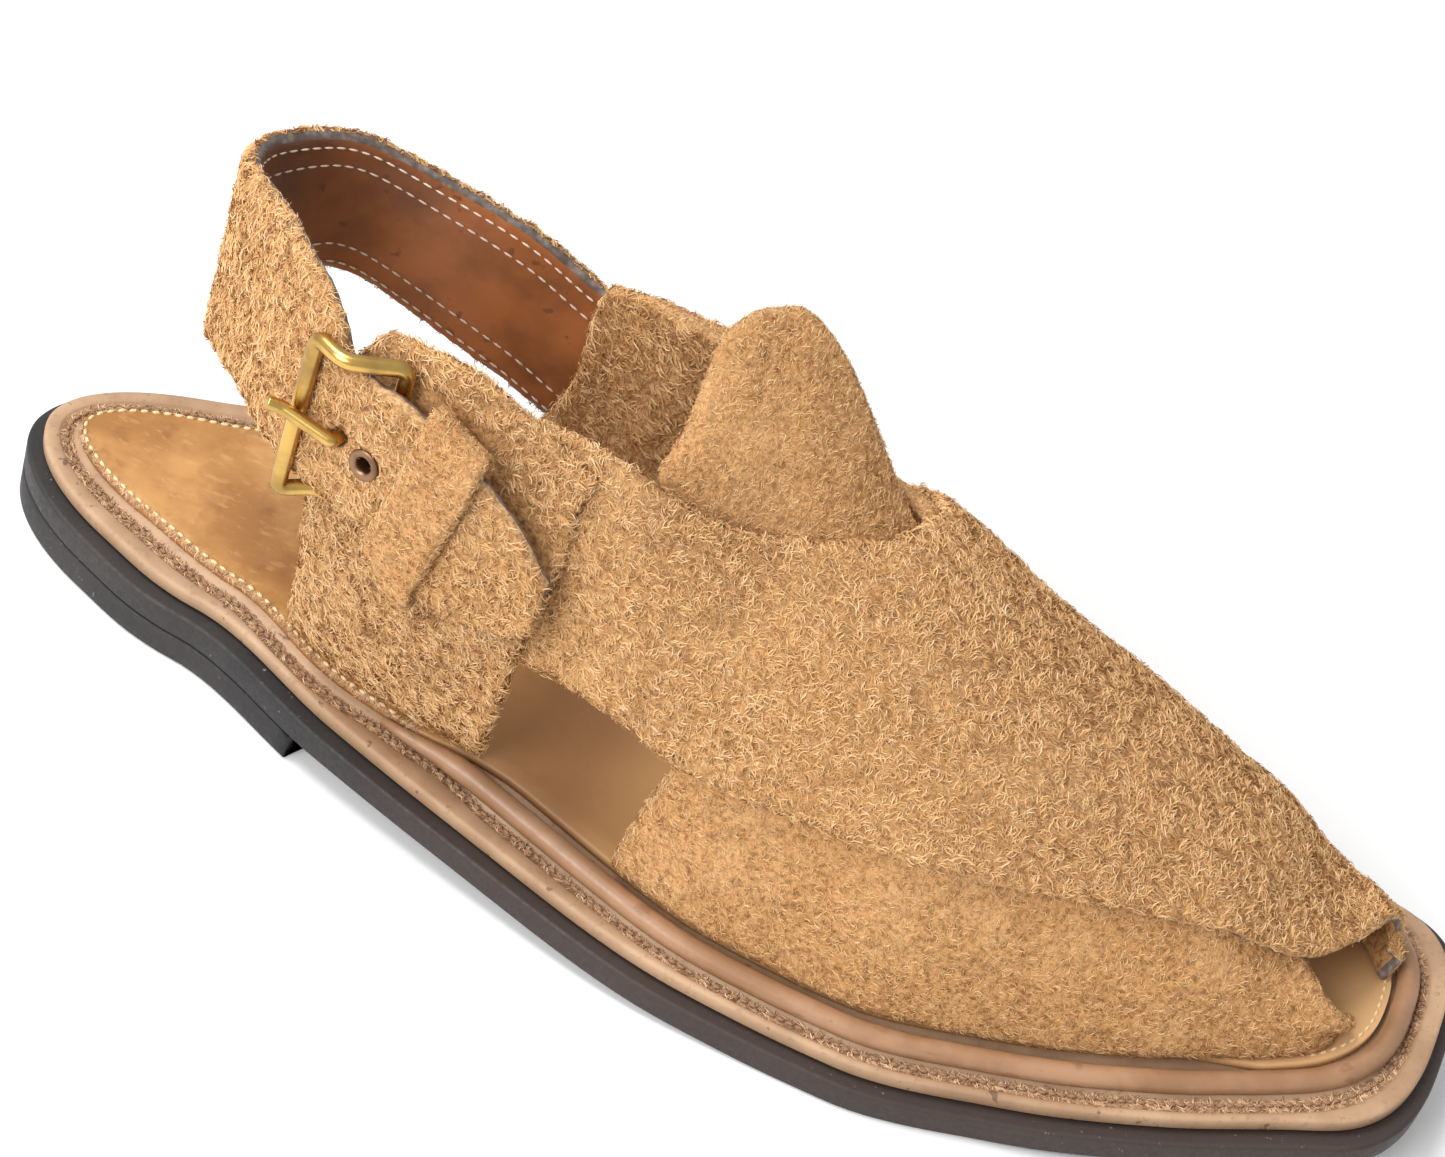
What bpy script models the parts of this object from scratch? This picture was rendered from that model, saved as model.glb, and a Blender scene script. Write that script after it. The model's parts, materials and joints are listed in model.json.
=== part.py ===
"""A peshawari chappal for the right foot: two suede straps that cross over the vamp, quarters, a tongue,
a heel strap with a brass buckle, and a low leather and rubber sole. Heel to toe is +X, the outer side is -Y."""
import math
from collections import namedtuple

import bmesh
import bpy
from mathutils import Vector

# Driving sizes, in metres
SOLE_LENGTH = 0.300
BALL_WIDTH = 0.100
HEEL_WIDTH = 0.062
INSTEP_HEIGHT = 0.080
HEEL_LIFT = 0.0066
TOE_SPRING = 0.0099
OUTSOLE_THICKNESS = 0.0058
OUTSOLE_LEDGE = 0.0030
SOLE_EDGE_ROUND = 0.0008
MIDSOLE_THICKNESS = 0.0035
GROOVE_DEPTH = 0.0006
GROOVE_WIDTH = 0.0012
FLANGE_WIDTH = 0.0024
INSOLE_THICKNESS = 0.0018
RAND_DIAMETER = 0.0046
RAND_EDGE = 0.0085
HEEL_EDGE = 0.0065
SUEDE_WALL = 0.0030
TONGUE_WALL = 0.0026
STRAP_WALL = 0.0034
KEEPER_WIDTH = 0.0125
KEEPER_WALL = 0.0026
BUCKLE_HEIGHT = 0.0375
BUCKLE_LENGTH = 0.0190
BUCKLE_BAR = 0.0032
BUCKLE_BEND = 0.0022
PRONG_THICKNESS = 0.0026
PRONG_REACH = 0.0030
EYELET_RADIUS = 0.0031
EYELET_WALL = 0.0011

# Fits between pieces
FIT_GAP = 0.0003
SEWN_LAP = 0.0005

# Outline of the midsole: each half is a share of the heel width and a share of the ball width, added up
Outline = namedtuple("Outline", "along outer_heel outer_ball inner_heel inner_ball")
OUTLINE = [
    Outline(0.00, 0.34, 0.000, 0.40, 0.000),
    Outline(0.08, 0.36, 0.000, 0.45, 0.000),
    Outline(0.16, 0.42, 0.005, 0.56, 0.000),
    Outline(0.28, 0.24, 0.240, 0.40, 0.105),
    Outline(0.42, 0.02, 0.480, 0.06, 0.275),
    Outline(0.55, 0.00, 0.550, 0.00, 0.350),
    Outline(0.66, 0.00, 0.542, 0.00, 0.450),
    Outline(0.76, 0.00, 0.460, 0.00, 0.500),
    Outline(0.86, 0.00, 0.345, 0.00, 0.485),
    Outline(0.94, 0.00, 0.230, 0.00, 0.430),
    Outline(1.00, 0.00, 0.155, 0.00, 0.375),
]
HEEL_ROUNDING = (0.13, 1.9)
TOE_ROUNDING = (0.055, 3.0)

# Rise of the outsole's underside above the floor, as shares of the heel lift and of the toe spring
Rise = namedtuple("Rise", "along heel toe")
RISES = [
    Rise(0.00, 1.12, 0.0),
    Rise(0.10, 1.00, 0.0),
    Rise(0.25, 0.97, 0.0),
    Rise(0.36, 0.78, 0.0),
    Rise(0.48, 0.40, 0.0),
    Rise(0.58, 0.08, 0.0),
    Rise(0.63, 0.00, 0.0),
    Rise(0.71, 0.00, 0.0),
    Rise(0.78, 0.00, 0.07),
    Rise(0.86, 0.00, 0.32),
    Rise(1.00, 0.00, 1.00),
]
HEEL_BREAST = 0.26

# Sections of the last. A bulge is how far the wall stands beyond its foot, as a share of the ball width, and
# the crest's place is a share of the ball width from the middle line, with the outer side negative. Its
# height above the insole is a share of the instep height. The wall is tucked in towards its foot below a
# share of the same height.
TUCK_SHARE = 0.45
Section = namedtuple("Section", "along outer_bulge inner_bulge crest_across crest_height squareness")
LAST = [
    Section(0.15, 0.11, 0.00, -0.08, 1.70, 3.5),
    Section(0.28, 0.05, 0.03, -0.08, 1.56, 3.2),
    Section(0.38, 0.035, 0.09, -0.05, 1.27, 2.6),
    Section(0.44, 0.025, 0.10, 0.05, 1.00, 3.0),
    Section(0.50, 0.005, 0.08, 0.09, 0.89, 2.5),
    Section(0.59, 0.00, 0.05, 0.085, 0.81, 2.3),
    Section(0.68, 0.00, 0.01, 0.07, 0.675, 2.2),
    Section(0.79, 0.00, 0.00, 0.085, 0.505, 2.2),
    Section(0.90, 0.00, 0.00, 0.12, 0.30, 2.3),
    Section(1.00, 0.00, 0.00, 0.20, 0.15, 2.6),
]

# Distance from the midsole's edge to the inner side of the rand, as shares of the heel and the rand edge
Feather = namedtuple("Feather", "along heel rand")
FEATHERS = [
    Feather(0.00, 1.0, 0.00),
    Feather(0.12, 1.0, 0.00),
    Feather(0.22, 0.7, 0.00),
    Feather(0.30, 0.4, 0.50),
    Feather(0.37, 0.0, 1.25),
    Feather(0.46, 0.0, 1.20),
    Feather(0.58, 0.0, 1.00),
    Feather(0.92, 0.0, 1.00),
    Feather(1.00, 0.0, 1.25),
]

# Places on the last: share of the length, then share of the way round it from the outer foot to the
# inner foot. A layer of 0 is the lining on the last, and 1 lies on one wall of suede.
Edge = namedtuple("Edge", "back_along back_around front_along front_around back_layer front_layer")
UNDER_STRAP = [
    Edge(0.481, 0.000, 0.996, 0.000, 0.0, 0.0),
    Edge(0.490, 0.060, 0.985, 0.100, 0.0, 0.0),
    Edge(0.515, 0.200, 0.950, 0.270, 0.0, 0.0),
    Edge(0.560, 0.380, 0.900, 0.440, 0.0, 0.0),
    Edge(0.574, 0.520, 0.820, 0.660, 0.0, 0.0),
    Edge(0.535, 0.600, 0.700, 0.800, 0.0, 0.0),
    Edge(0.460, 0.665, 0.540, 0.870, 0.0, 0.0),
    Edge(0.345, 0.815, 0.345, 0.930, 0.0, 0.0),
]
OVER_STRAP = [
    Edge(0.481, 1.000, 0.998, 1.000, 0.0, 0.0),
    Edge(0.495, 0.900, 0.998, 0.800, 0.9, 0.6),
    Edge(0.535, 0.720, 0.985, 0.550, 1.0, 1.0),
    Edge(0.580, 0.550, 0.920, 0.335, 1.0, 1.0),
    Edge(0.560, 0.455, 0.820, 0.265, 1.0, 1.0),
    Edge(0.500, 0.378, 0.690, 0.200, 1.0, 1.0),
    Edge(0.430, 0.315, 0.530, 0.135, 1.0, 1.0),
    Edge(0.335, 0.215, 0.335, 0.060, 0.2, 0.2),
]
OUTER_QUARTER = [
    Edge(0.212, 0.000, 0.360, 0.000, 0.0, 0.0),
    Edge(0.214, 0.020, 0.368, 0.050, 0.0, 0.8),
    Edge(0.206, 0.055, 0.373, 0.090, 0.0, 1.4),
    Edge(0.209, 0.100, 0.378, 0.145, 0.0, 1.4),
    Edge(0.221, 0.135, 0.376, 0.195, 0.0, 1.4),
    Edge(0.236, 0.165, 0.377, 0.242, 0.0, 1.4),
]
INNER_QUARTER = [
    Edge(0.240, 1.000, 0.395, 1.000, 0.0, 0.0),
    Edge(0.292, 0.965, 0.400, 0.940, 0.0, 0.5),
    Edge(0.303, 0.930, 0.410, 0.890, 0.0, 1.0),
    Edge(0.303, 0.895, 0.420, 0.820, 0.0, 1.0),
    Edge(0.308, 0.862, 0.425, 0.710, 0.0, 1.0),
]

# The tongue's ribs from its outer to its inner side: places on the last where the rib starts under the
# vamp, the layer that it lies in at the throat, and shares of the named sizes for its upper end
Rib = namedtuple("Rib", "base_along base_around neck_lift tip_along tip_across tip_height")
TONGUE = [
    Rib(0.420, 0.305, 0.75, 0.417, -0.180, 1.120),
    Rib(0.436, 0.325, 0.75, 0.420, -0.120, 1.250),
    Rib(0.462, 0.350, 0.75, 0.418, -0.070, 1.390),
    Rib(0.495, 0.375, 0.60, 0.433, -0.010, 1.475),
    Rib(0.525, 0.400, 0.40, 0.453, 0.050, 1.480),
    Rib(0.553, 0.430, 0.10, 0.482, 0.092, 1.390),
    Rib(0.575, 0.470, 0.00, 0.520, 0.115, 1.195),
    Rib(0.586, 0.520, 0.00, 0.548, 0.130, 1.030),
]

# The heel strap's stations, from its sewn end on the inner quarter round the heel to its tip. Along, across
# and heights are shares of the sole's length, of its half width there and of the instep height, and the lean
# is a share of the ball width.
Station = namedtuple("Station", "turn along across low high lean")
STRAP = [
    Station(0.00, 0.385, 1.058, 0.48, 0.93, 0.00),
    Station(0.09, 0.315, 0.951, 0.53, 1.00, -0.02),
    Station(0.19, 0.260, 0.866, 0.62, 1.10, -0.03),
    Station(0.30, 0.190, 0.751, 0.73, 1.17, -0.03),
    Station(0.38, 0.140, 0.469, 0.84, 1.24, 0.00),
    Station(0.46, 0.112, -0.053, 0.79, 1.29, 0.00),
    Station(0.53, 0.122, -0.500, 0.85, 1.35, 0.02),
    Station(0.60, 0.164, -0.915, 0.93, 1.39, 0.05),
    Station(0.66, 0.202, -1.128, 0.93, 1.37, 0.06),
    Station(0.695, 0.225, -1.142, 0.90, 1.33, 0.03),
    Station(0.72, 0.242, -1.129, 0.90, 1.245, 0.02),
    Station(0.77, 0.274, -1.084, 0.90, 1.245, 0.02),
    Station(0.84, 0.310, -1.042, 0.79, 1.20, 0.02),
    Station(0.92, 0.355, -0.973, 0.77, 1.11, 0.02),
    Station(1.00, 0.392, -0.906, 0.85, 0.96, 0.02),
]
KEEPER_LOW = 0.816
KEEPER_HIGH = 0.850
KEEPER_ROUND = (
    (0.0, 1, -1), (0.25, 1, 0), (0.5, 1, 0), (0.75, 1, 0), (1.0, 1, 1),
    (1.0, -1, 1), (0.75, -1, 0), (0.5, -1, 0), (0.25, -1, 0), (0.0, -1, -1),
)
BUCKLE_AT = 0.690
PRONG_AT = 0.725
EYELET_AT = 0.758
EYELET_SHARE = 0.45

def blend(low, high, share):
    return low + (high - low) * share


def smooth_value(rows, column, along):
    """A column's value at a share of the length, on a curve through the rows that never overshoots."""
    places = [row[0] for row in rows]
    values = [getattr(row, column) for row in rows]
    return smooth_between(places, values, along)


def smooth_between(places, values, at):
    at = min(max(at, places[0]), places[-1])
    last = len(places) - 1
    slopes = [(values[i + 1] - values[i]) / (places[i + 1] - places[i]) for i in range(last)]
    span = next((i for i in range(last) if at <= places[i + 1]), last - 1)

    def tangent(i):
        if i == 0:
            return slopes[0]
        if i == last:
            return slopes[-1]
        if slopes[i - 1] * slopes[i] <= 0:
            return 0.0
        return 2.0 * slopes[i - 1] * slopes[i] / (slopes[i - 1] + slopes[i])

    width = places[span + 1] - places[span]
    t = (at - places[span]) / width
    start = values[span] * (1 + 2 * t) * (1 - t) ** 2 + values[span + 1] * t * t * (3 - 2 * t)
    return start + width * (tangent(span) * t * (1 - t) ** 2 - tangent(span + 1) * t * t * (1 - t))


# Sole line

def along_to_x(along, inset=0.0):
    return (along - 0.5) * (SOLE_LENGTH - 2.0 * inset)


def end_rounding(along):
    """How much of the half width is left near the heel's back and the toe's end."""
    factor = 1.0
    for distance, (reach, power) in ((along, HEEL_ROUNDING), (1.0 - along, TOE_ROUNDING)):
        if distance < reach:
            factor *= max(0.0, 1.0 - (1.0 - distance / reach) ** power) ** (1.0 / power)
    return factor


def half_width(along, side):
    """Half width of the midsole on the outer (-1) or inner (1) side, before its ends are rounded."""
    name = "outer" if side < 0 else "inner"
    return (smooth_value(OUTLINE, name + "_heel", along) * HEEL_WIDTH
            + smooth_value(OUTLINE, name + "_ball", along) * BALL_WIDTH)


def middle_line(along):
    return (half_width(along, 1) - half_width(along, -1)) / 2.0


def edge_across(along, side, inset):
    """Place across the sole of its edge, moved in by inset and rounded at both ends."""
    half = (half_width(along, 1) + half_width(along, -1)) / 2.0 - inset
    return middle_line(along) + side * half * end_rounding(along)


def underside(x):
    along = x / SOLE_LENGTH + 0.5
    return smooth_value(RISES, "heel", along) * HEEL_LIFT + smooth_value(RISES, "toe", along) * TOE_SPRING


def outsole_top(x):
    return underside(x) + OUTSOLE_THICKNESS


def midsole_top(x):
    return outsole_top(x) + FIT_GAP + MIDSOLE_THICKNESS


def insole_top(x):
    return midsole_top(x) + FIT_GAP + INSOLE_THICKNESS


# Meshes

def material(name, colour, roughness, metallic=0.0):
    made = bpy.data.materials.new(name)
    made.use_nodes = True
    shader = made.node_tree.nodes["Principled BSDF"]
    shader.inputs["Base Color"].default_value = (*colour, 1.0)
    shader.inputs["Roughness"].default_value = roughness
    shader.inputs["Metallic"].default_value = metallic
    return made


def add_object(name, points, faces, finish, parent):
    mesh = bpy.data.meshes.new(name)
    mesh.from_pydata([tuple(point) for point in points], [], faces)
    mesh.materials.append(finish)
    shell = bmesh.new()
    shell.from_mesh(mesh)
    bmesh.ops.recalc_face_normals(shell, faces=shell.faces)
    shell.to_mesh(mesh)
    shell.free()
    mesh.shade_smooth()
    mesh.set_sharp_from_angle(angle=math.radians(40))
    made = bpy.data.objects.new(name, mesh)
    bpy.context.scene.collection.objects.link(made)
    made.parent = parent
    return made


def loft(rings, closed=False):
    """Points and faces of a body through rings of points, closed end to end or capped."""
    count = len(rings[0])
    points = [point for ring in rings for point in ring]
    faces = []
    spans = len(rings) if closed else len(rings) - 1
    for i in range(spans):
        first = i * count
        second = ((i + 1) % len(rings)) * count
        for j in range(count):
            k = (j + 1) % count
            faces.append((first + j, second + j, second + k, first + k))
    if not closed:
        faces.append(tuple(range(count)))
        final = (len(rings) - 1) * count
        faces.append(tuple(range(final + count - 1, final - 1, -1)))
    return points, faces


def end_spaced(count, low=0.0015, high=0.9985):
    """Shares from low to high, closer together at both ends."""
    return [low + (high - low) * (1 - math.cos(math.pi * i / (count - 1))) / 2 for i in range(count)]


def sole_slab(name, stations, steps, heights, finish, parent):
    """A layer of the sole. Each step is an inset from the midsole's edge, which of the two heights it
    follows (0 for the lower) and an offset from it, from the middle of the underside round to the top's."""
    across = 4
    points = []
    faces = []
    for along in stations:
        sides = []
        for side in (-1, 1):
            line = []
            for inset, level, offset in steps:
                x = along_to_x(along, inset)
                line.append(Vector((x, edge_across(along, side, inset), heights[level](x) + offset)))
            sides.append(line)
        outer, inner = sides
        top = [outer[-1].lerp(inner[-1], i / across) for i in range(1, across)]
        bottom = [inner[0].lerp(outer[0], i / across) for i in range(1, across)]
        points.append(outer + top + inner[::-1] + bottom)
    count = len(points[0])
    for i in range(len(points) - 1):
        for j in range(count):
            k = (j + 1) % count
            faces.append((i * count + j, i * count + k, (i + 1) * count + k, (i + 1) * count + j))
    final = len(steps) - 1
    mirror = len(steps) + across - 1 + final
    for base in (0, (len(points) - 1) * count):
        for j in range(final):
            ladder = [j, j + 1, mirror - j - 1, mirror - j]
            if j + 1 == final:
                ladder[2:2] = range(final + 1, final + across)
            if j == 0:
                ladder += range(mirror + 1, count)
            faces.append(tuple(base + place for place in ladder))
    flat = [point for ring in points for point in ring]
    return add_object(name, flat, faces, finish, parent)


def make_heel_lift(finish, parent):
    edge = -OUTSOLE_LEDGE
    stations = [along for along in end_spaced(40) if along < HEEL_BREAST] + [HEEL_BREAST]
    low_round = edge + SOLE_EDGE_ROUND
    steps = [(GROOVE_WIDTH * 3, 0, 0.0), (low_round, 0, 0.0), (edge, 0, SOLE_EDGE_ROUND), (edge, 1, -FIT_GAP),
             (GROOVE_WIDTH * 3, 1, -FIT_GAP)]
    return sole_slab("heel_lift", stations, steps, (lambda x: 0.0, underside), finish, parent)


def make_outsole(finish, parent):
    edge = -OUTSOLE_LEDGE
    rounded = edge + SOLE_EDGE_ROUND
    steps = [(GROOVE_WIDTH * 3, 0, 0.0), (rounded, 0, 0.0), (edge, 0, SOLE_EDGE_ROUND), (edge, 1, -SOLE_EDGE_ROUND),
             (rounded, 1, 0.0), (GROOVE_WIDTH * 3, 1, 0.0)]
    return sole_slab("outsole", end_spaced(34), steps, (underside, outsole_top), finish, parent)


def make_midsole(finish, parent):
    groove_end = FLANGE_WIDTH + GROOVE_WIDTH
    steps = [(groove_end, 0, FIT_GAP), (0.0, 0, FIT_GAP), (0.0, 1, -SOLE_EDGE_ROUND), (SOLE_EDGE_ROUND, 1, 0.0),
             (FLANGE_WIDTH, 1, 0.0), (FLANGE_WIDTH, 1, -GROOVE_DEPTH), (groove_end, 1, -GROOVE_DEPTH),
             (groove_end, 1, 0.0)]
    return sole_slab("midsole", end_spaced(34), steps, (outsole_top, midsole_top), finish, parent)


def feather(along):
    """Inset of the rand's inner side, which is also the insole's edge and the foot of the upper."""
    return (smooth_value(FEATHERS, "heel", along) * HEEL_EDGE
            + smooth_value(FEATHERS, "rand", along) * RAND_EDGE)


def make_insole(finish, parent):
    rings = []
    for along in end_spaced(42):
        inset = feather(along) + 2.3 * FIT_GAP
        x = along_to_x(along, inset)
        outer = edge_across(along, -1, inset)
        inner = edge_across(along, 1, inset)
        bevel = min(SOLE_EDGE_ROUND, (inner - outer) * 0.2)
        low = midsole_top(x) + FIT_GAP
        high = insole_top(x)
        ring = [(outer, low), (outer, high - bevel), (outer + bevel, high)]
        ring += [(blend(outer, inner, i / 4), high) for i in (1, 2, 3)]
        ring += [(inner - bevel, high), (inner, high - bevel), (inner, low)]
        ring += [(blend(inner, outer, i / 4), low) for i in (1, 2, 3)]
        rings.append([Vector((x, y, z)) for y, z in ring])
    return add_object("insole", *loft(rings), finish, parent)


# The rand runs forward from the waist on one side, round the toe, and back on the other side

def make_rand(finish, parent):
    start = 0.30
    path = []
    for side in (-1, 1):
        stations = [start + (0.9995 - start) * (1 - (1 - i / 36) ** 1.5) for i in range(37)]
        line = []
        for along in stations:
            full = min(1.0, 0.35 + (along - start) / 0.09)
            inset = feather(along) - RAND_DIAMETER * full / 2
            x = along_to_x(along, inset)
            line.append((Vector((x, edge_across(along, side, inset), midsole_top(x))), full))
        path += line if side < 0 else line[::-1]
    rings = []
    for i, (place, full) in enumerate(path):
        ahead = path[min(i + 1, len(path) - 1)][0] - path[max(i - 1, 0)][0]
        out = Vector((ahead.y, -ahead.x, 0.0)).normalized()
        radius = RAND_DIAMETER * full / 2
        ring = []
        for j in range(8):
            angle = math.radians(-30 + 240 * j / 7)
            rise = radius * math.sin(angle) + radius * 0.5 + 2 * FIT_GAP
            ring.append(place + out * radius * math.cos(angle) + Vector((0, 0, rise)))
        rings.append(ring)
    return add_object("rand", *loft(rings), finish, parent)


# The last and what lies on it

def last_point(along, around):
    """A point of the last's surface: around runs from the outer foot (0) over the crest to the inner foot."""
    inset = feather(along) + SUEDE_WALL + 2.5 * FIT_GAP
    x = along_to_x(along, inset)
    side = -1 if around < 0.5 else 1
    bulge = smooth_value(LAST, "outer_bulge" if side < 0 else "inner_bulge", along) * BALL_WIDTH
    crest = smooth_value(LAST, "crest_across", along) * BALL_WIDTH
    foot = edge_across(along, side, inset)
    power = 2.0 / smooth_value(LAST, "squareness", along)
    angle = math.pi * min(max(around, 0.0), 1.0)
    rise = abs(math.sin(angle)) ** power * smooth_value(LAST, "crest_height", along) * INSTEP_HEIGHT
    reach = foot + side * bulge
    across = crest + (reach - crest) * abs(math.cos(angle)) ** power
    tuck = max(0.0, 1.0 - rise / (TUCK_SHARE * INSTEP_HEIGHT)) ** 2
    return Vector((x, across - side * bulge * tuck, insole_top(x) + 3 * FIT_GAP + rise))


def raised_point(along, around, height):
    """A point off the last's surface along its normal, kept on the insole at the foot."""
    step = 0.004
    low, high = max(around - step, 0.0), min(around + step, 1.0)
    forward = last_point(min(along + step, 1.0), around) - last_point(along - step, around)
    round_it = last_point(along, high) - last_point(along, low)
    normal = forward.cross(round_it).normalized()
    foot = min(around, 1.0 - around)
    normal.z *= min(1.0, foot / 0.08)
    return last_point(along, around) + normal.normalized() * height


def edge_rows(rows, count):
    """The rows of a table, filled in to an even count along its edges on smooth curves."""
    places = [i / (len(rows) - 1) for i in range(len(rows))]
    filled = []
    for i in range(count + 1):
        at = i / count
        filled.append(Edge(*[smooth_between(places, [row[k] for row in rows], at) for k in range(len(Edge._fields))]))
    return filled


def wall_patch(name, rows, count, width, finish, parent):
    """A wall of suede on the last, from its back edge to its front edge, row by row."""
    rings = []
    for row in edge_rows(rows, count):
        lining = []
        suede = []
        for i in range(width + 1):
            t = i / width
            along = blend(row.back_along, row.front_along, t)
            around = blend(row.back_around, row.front_around, t)
            layer = blend(row.back_layer, row.front_layer, t)
            height = layer * (SUEDE_WALL - SEWN_LAP)
            lining.append(raised_point(along, around, height))
            suede.append(raised_point(along, around, height + SUEDE_WALL))
        rings.append(lining + suede[::-1])
    return add_object(name, *loft(rings), finish, parent)


def union_into(base, others):
    """Sews the other solids into the base, and takes them away."""
    for other in others:
        join = base.modifiers.new("sewn to " + other.name, "BOOLEAN")
        join.operation = "UNION"
        join.solver = "EXACT"
        join.object = other
        other.hide_render = True
        other.display_type = "WIRE"


def make_upper(finish, parent):
    under = wall_patch("upper", UNDER_STRAP, 26, 10, finish, parent)
    over = wall_patch("over_strap", OVER_STRAP, 26, 10, finish, parent)
    outer = wall_patch("outer_quarter", OUTER_QUARTER, 14, 8, finish, parent)
    inner = wall_patch("inner_quarter", INNER_QUARTER, 14, 8, finish, parent)
    union_into(under, [over, outer, inner])
    return under


# Tongue, heel strap and its fittings

def thick_sheet(name, grid, wall, finish, parent):
    """A solid from rows of points on its outer face, with its wall behind them."""
    rings = []
    for i, row in enumerate(grid):
        behind = []
        for j, point in enumerate(row):
            forward = grid[min(i + 1, len(grid) - 1)][j] - grid[max(i - 1, 0)][j]
            up = row[min(j + 1, len(row) - 1)] - row[max(j - 1, 0)]
            behind.append(point - forward.cross(up).normalized() * wall)
        rings.append(row + behind[::-1])
    return add_object(name, *loft(rings), finish, parent)


def make_tongue(finish, parent):
    places = [i / (len(TONGUE) - 1) for i in range(len(TONGUE))]
    ribs = 18
    rises = 8
    grid = []
    for i in range(ribs + 1):
        rib = Rib(*[smooth_between(places, [row[k] for row in TONGUE], i / ribs) for k in range(len(Rib._fields))])
        base = raised_point(rib.base_along + 0.008, rib.base_around - 0.008, -3 * FIT_GAP)
        neck = raised_point(rib.base_along - 0.016, rib.base_around + 0.006, rib.neck_lift * SUEDE_WALL - 3 * FIT_GAP)
        tip = Vector((
            (rib.tip_along - 0.5) * SOLE_LENGTH, rib.tip_across * BALL_WIDTH, rib.tip_height * INSTEP_HEIGHT
        ))
        row = []
        for j in range(rises + 1):
            t = j / rises
            row.append(base * (1 - t) ** 2 + neck * 2 * t * (1 - t) + tip * t * t)
        grid.append(row)
    return thick_sheet("tongue", grid, TONGUE_WALL, finish, parent)


def strap_place(turn):
    values = {}
    turns = [row.turn for row in STRAP]
    for column in ("along", "across", "low", "high", "lean"):
        values[column] = smooth_between(turns, [getattr(row, column) for row in STRAP], turn)
    half = (half_width(values["along"], 1) + half_width(values["along"], -1)) / 2.0
    values["across"] = middle_line(values["along"]) + values["across"] * half
    return values


def strap_point(turn, share, out):
    """A point of the strap: share runs from its lower edge up, and out is the distance off its lining."""
    here = strap_place(turn)
    behind = strap_place(max(turn - 0.01, 0.0))
    ahead = strap_place(min(turn + 0.01, 1.0))
    forward = Vector((
        (ahead["along"] - behind["along"]) * SOLE_LENGTH, ahead["across"] - behind["across"], 0.0
    )).normalized()
    outward = Vector((forward.y, -forward.x, 0.0))
    height = blend(here["low"], here["high"], share) * INSTEP_HEIGHT
    middle = Vector(((here["along"] - 0.5) * SOLE_LENGTH, here["across"], height))
    lean = here["lean"] * BALL_WIDTH * (share - 0.5)
    return middle + outward * out + Vector((0.0, lean, 0.0))


def turn_after(turn, distance):
    """The place on the strap at a distance further towards its tip, or back from it where that is negative."""
    step = math.copysign(0.002, distance)
    left = abs(distance)
    while 0.0 < turn < 1.0:
        length = (strap_point(turn + step, 0.5, 0.0) - strap_point(turn, 0.5, 0.0)).length
        if length >= left:
            return turn + step * left / length
        left -= length
        turn += step
    return turn


def make_heel_strap(finish, parent):
    rings = []
    count = 44
    for i in range(count + 1):
        turn = i / count
        lining = [strap_point(turn, share, 0.0) for share in (0.0, 0.25, 0.5, 0.75, 1.0)]
        suede = [strap_point(turn, share, STRAP_WALL) for share in (1.0, 0.75, 0.5, 0.25, 0.0)]
        rings.append(lining + suede)
    strap = add_object("heel_strap", *loft(rings), finish, parent)
    for at, share, radius in ((PRONG_AT, 0.5, PRONG_THICKNESS * 0.8), (EYELET_AT, EYELET_SHARE, EYELET_RADIUS)):
        drill(strap, at, share, radius + FIT_GAP, finish, parent)
    return strap


def across_strap(at, share):
    """The direction out of the strap's face at a place on it."""
    forward = strap_point(at + 0.01, share, STRAP_WALL) - strap_point(at - 0.01, share, STRAP_WALL)
    up = strap_point(at, share + 0.05, STRAP_WALL) - strap_point(at, share - 0.05, STRAP_WALL)
    return forward.cross(up).normalized()


def turned_ring(middle, axis, radius, count):
    """Points on a circle about an axis."""
    side = axis.cross(Vector((0.0, 0.0, 1.0))).normalized()
    up = side.cross(axis)
    angles = [2 * math.pi * i / count for i in range(count)]
    return [middle + side * radius * math.cos(angle) + up * radius * math.sin(angle) for angle in angles]


def drill(solid, at, share, radius, finish, parent):
    """Cuts a round hole through the strap."""
    out = across_strap(at, share)
    ends = [strap_point(at, share, -STRAP_WALL), strap_point(at, share, 2 * STRAP_WALL)]
    rings = [turned_ring(end, out, radius, 16) for end in ends]
    cutter = add_object("hole cutter", *loft(rings), finish, parent)
    cutter.hide_render = True
    cutter.display_type = "WIRE"
    cut = solid.modifiers.new("hole", "BOOLEAN")
    cut.operation = "DIFFERENCE"
    cut.solver = "EXACT"
    cut.object = cutter


def make_eyelet(finish, parent):
    """A flat-rimmed tube through the strap."""
    out = across_strap(EYELET_AT, EYELET_SHARE)
    bore = EYELET_RADIUS - EYELET_WALL
    profile = [(bore, STRAP_WALL * 0.3), (EYELET_RADIUS, STRAP_WALL * 0.3), (EYELET_RADIUS, STRAP_WALL + 1.5 * FIT_GAP),
               (EYELET_RADIUS + EYELET_WALL, STRAP_WALL + 1.5 * FIT_GAP),
               (EYELET_RADIUS + EYELET_WALL * 0.6, STRAP_WALL + EYELET_WALL * 0.6), (bore, STRAP_WALL + 1.5 * FIT_GAP)]
    rings = []
    for radius, off in profile:
        rings.append(turned_ring(strap_point(EYELET_AT, EYELET_SHARE, off), out, radius, 20))
    return add_object("eyelet", *loft(rings, closed=True)[0:2], finish, parent)


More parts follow.
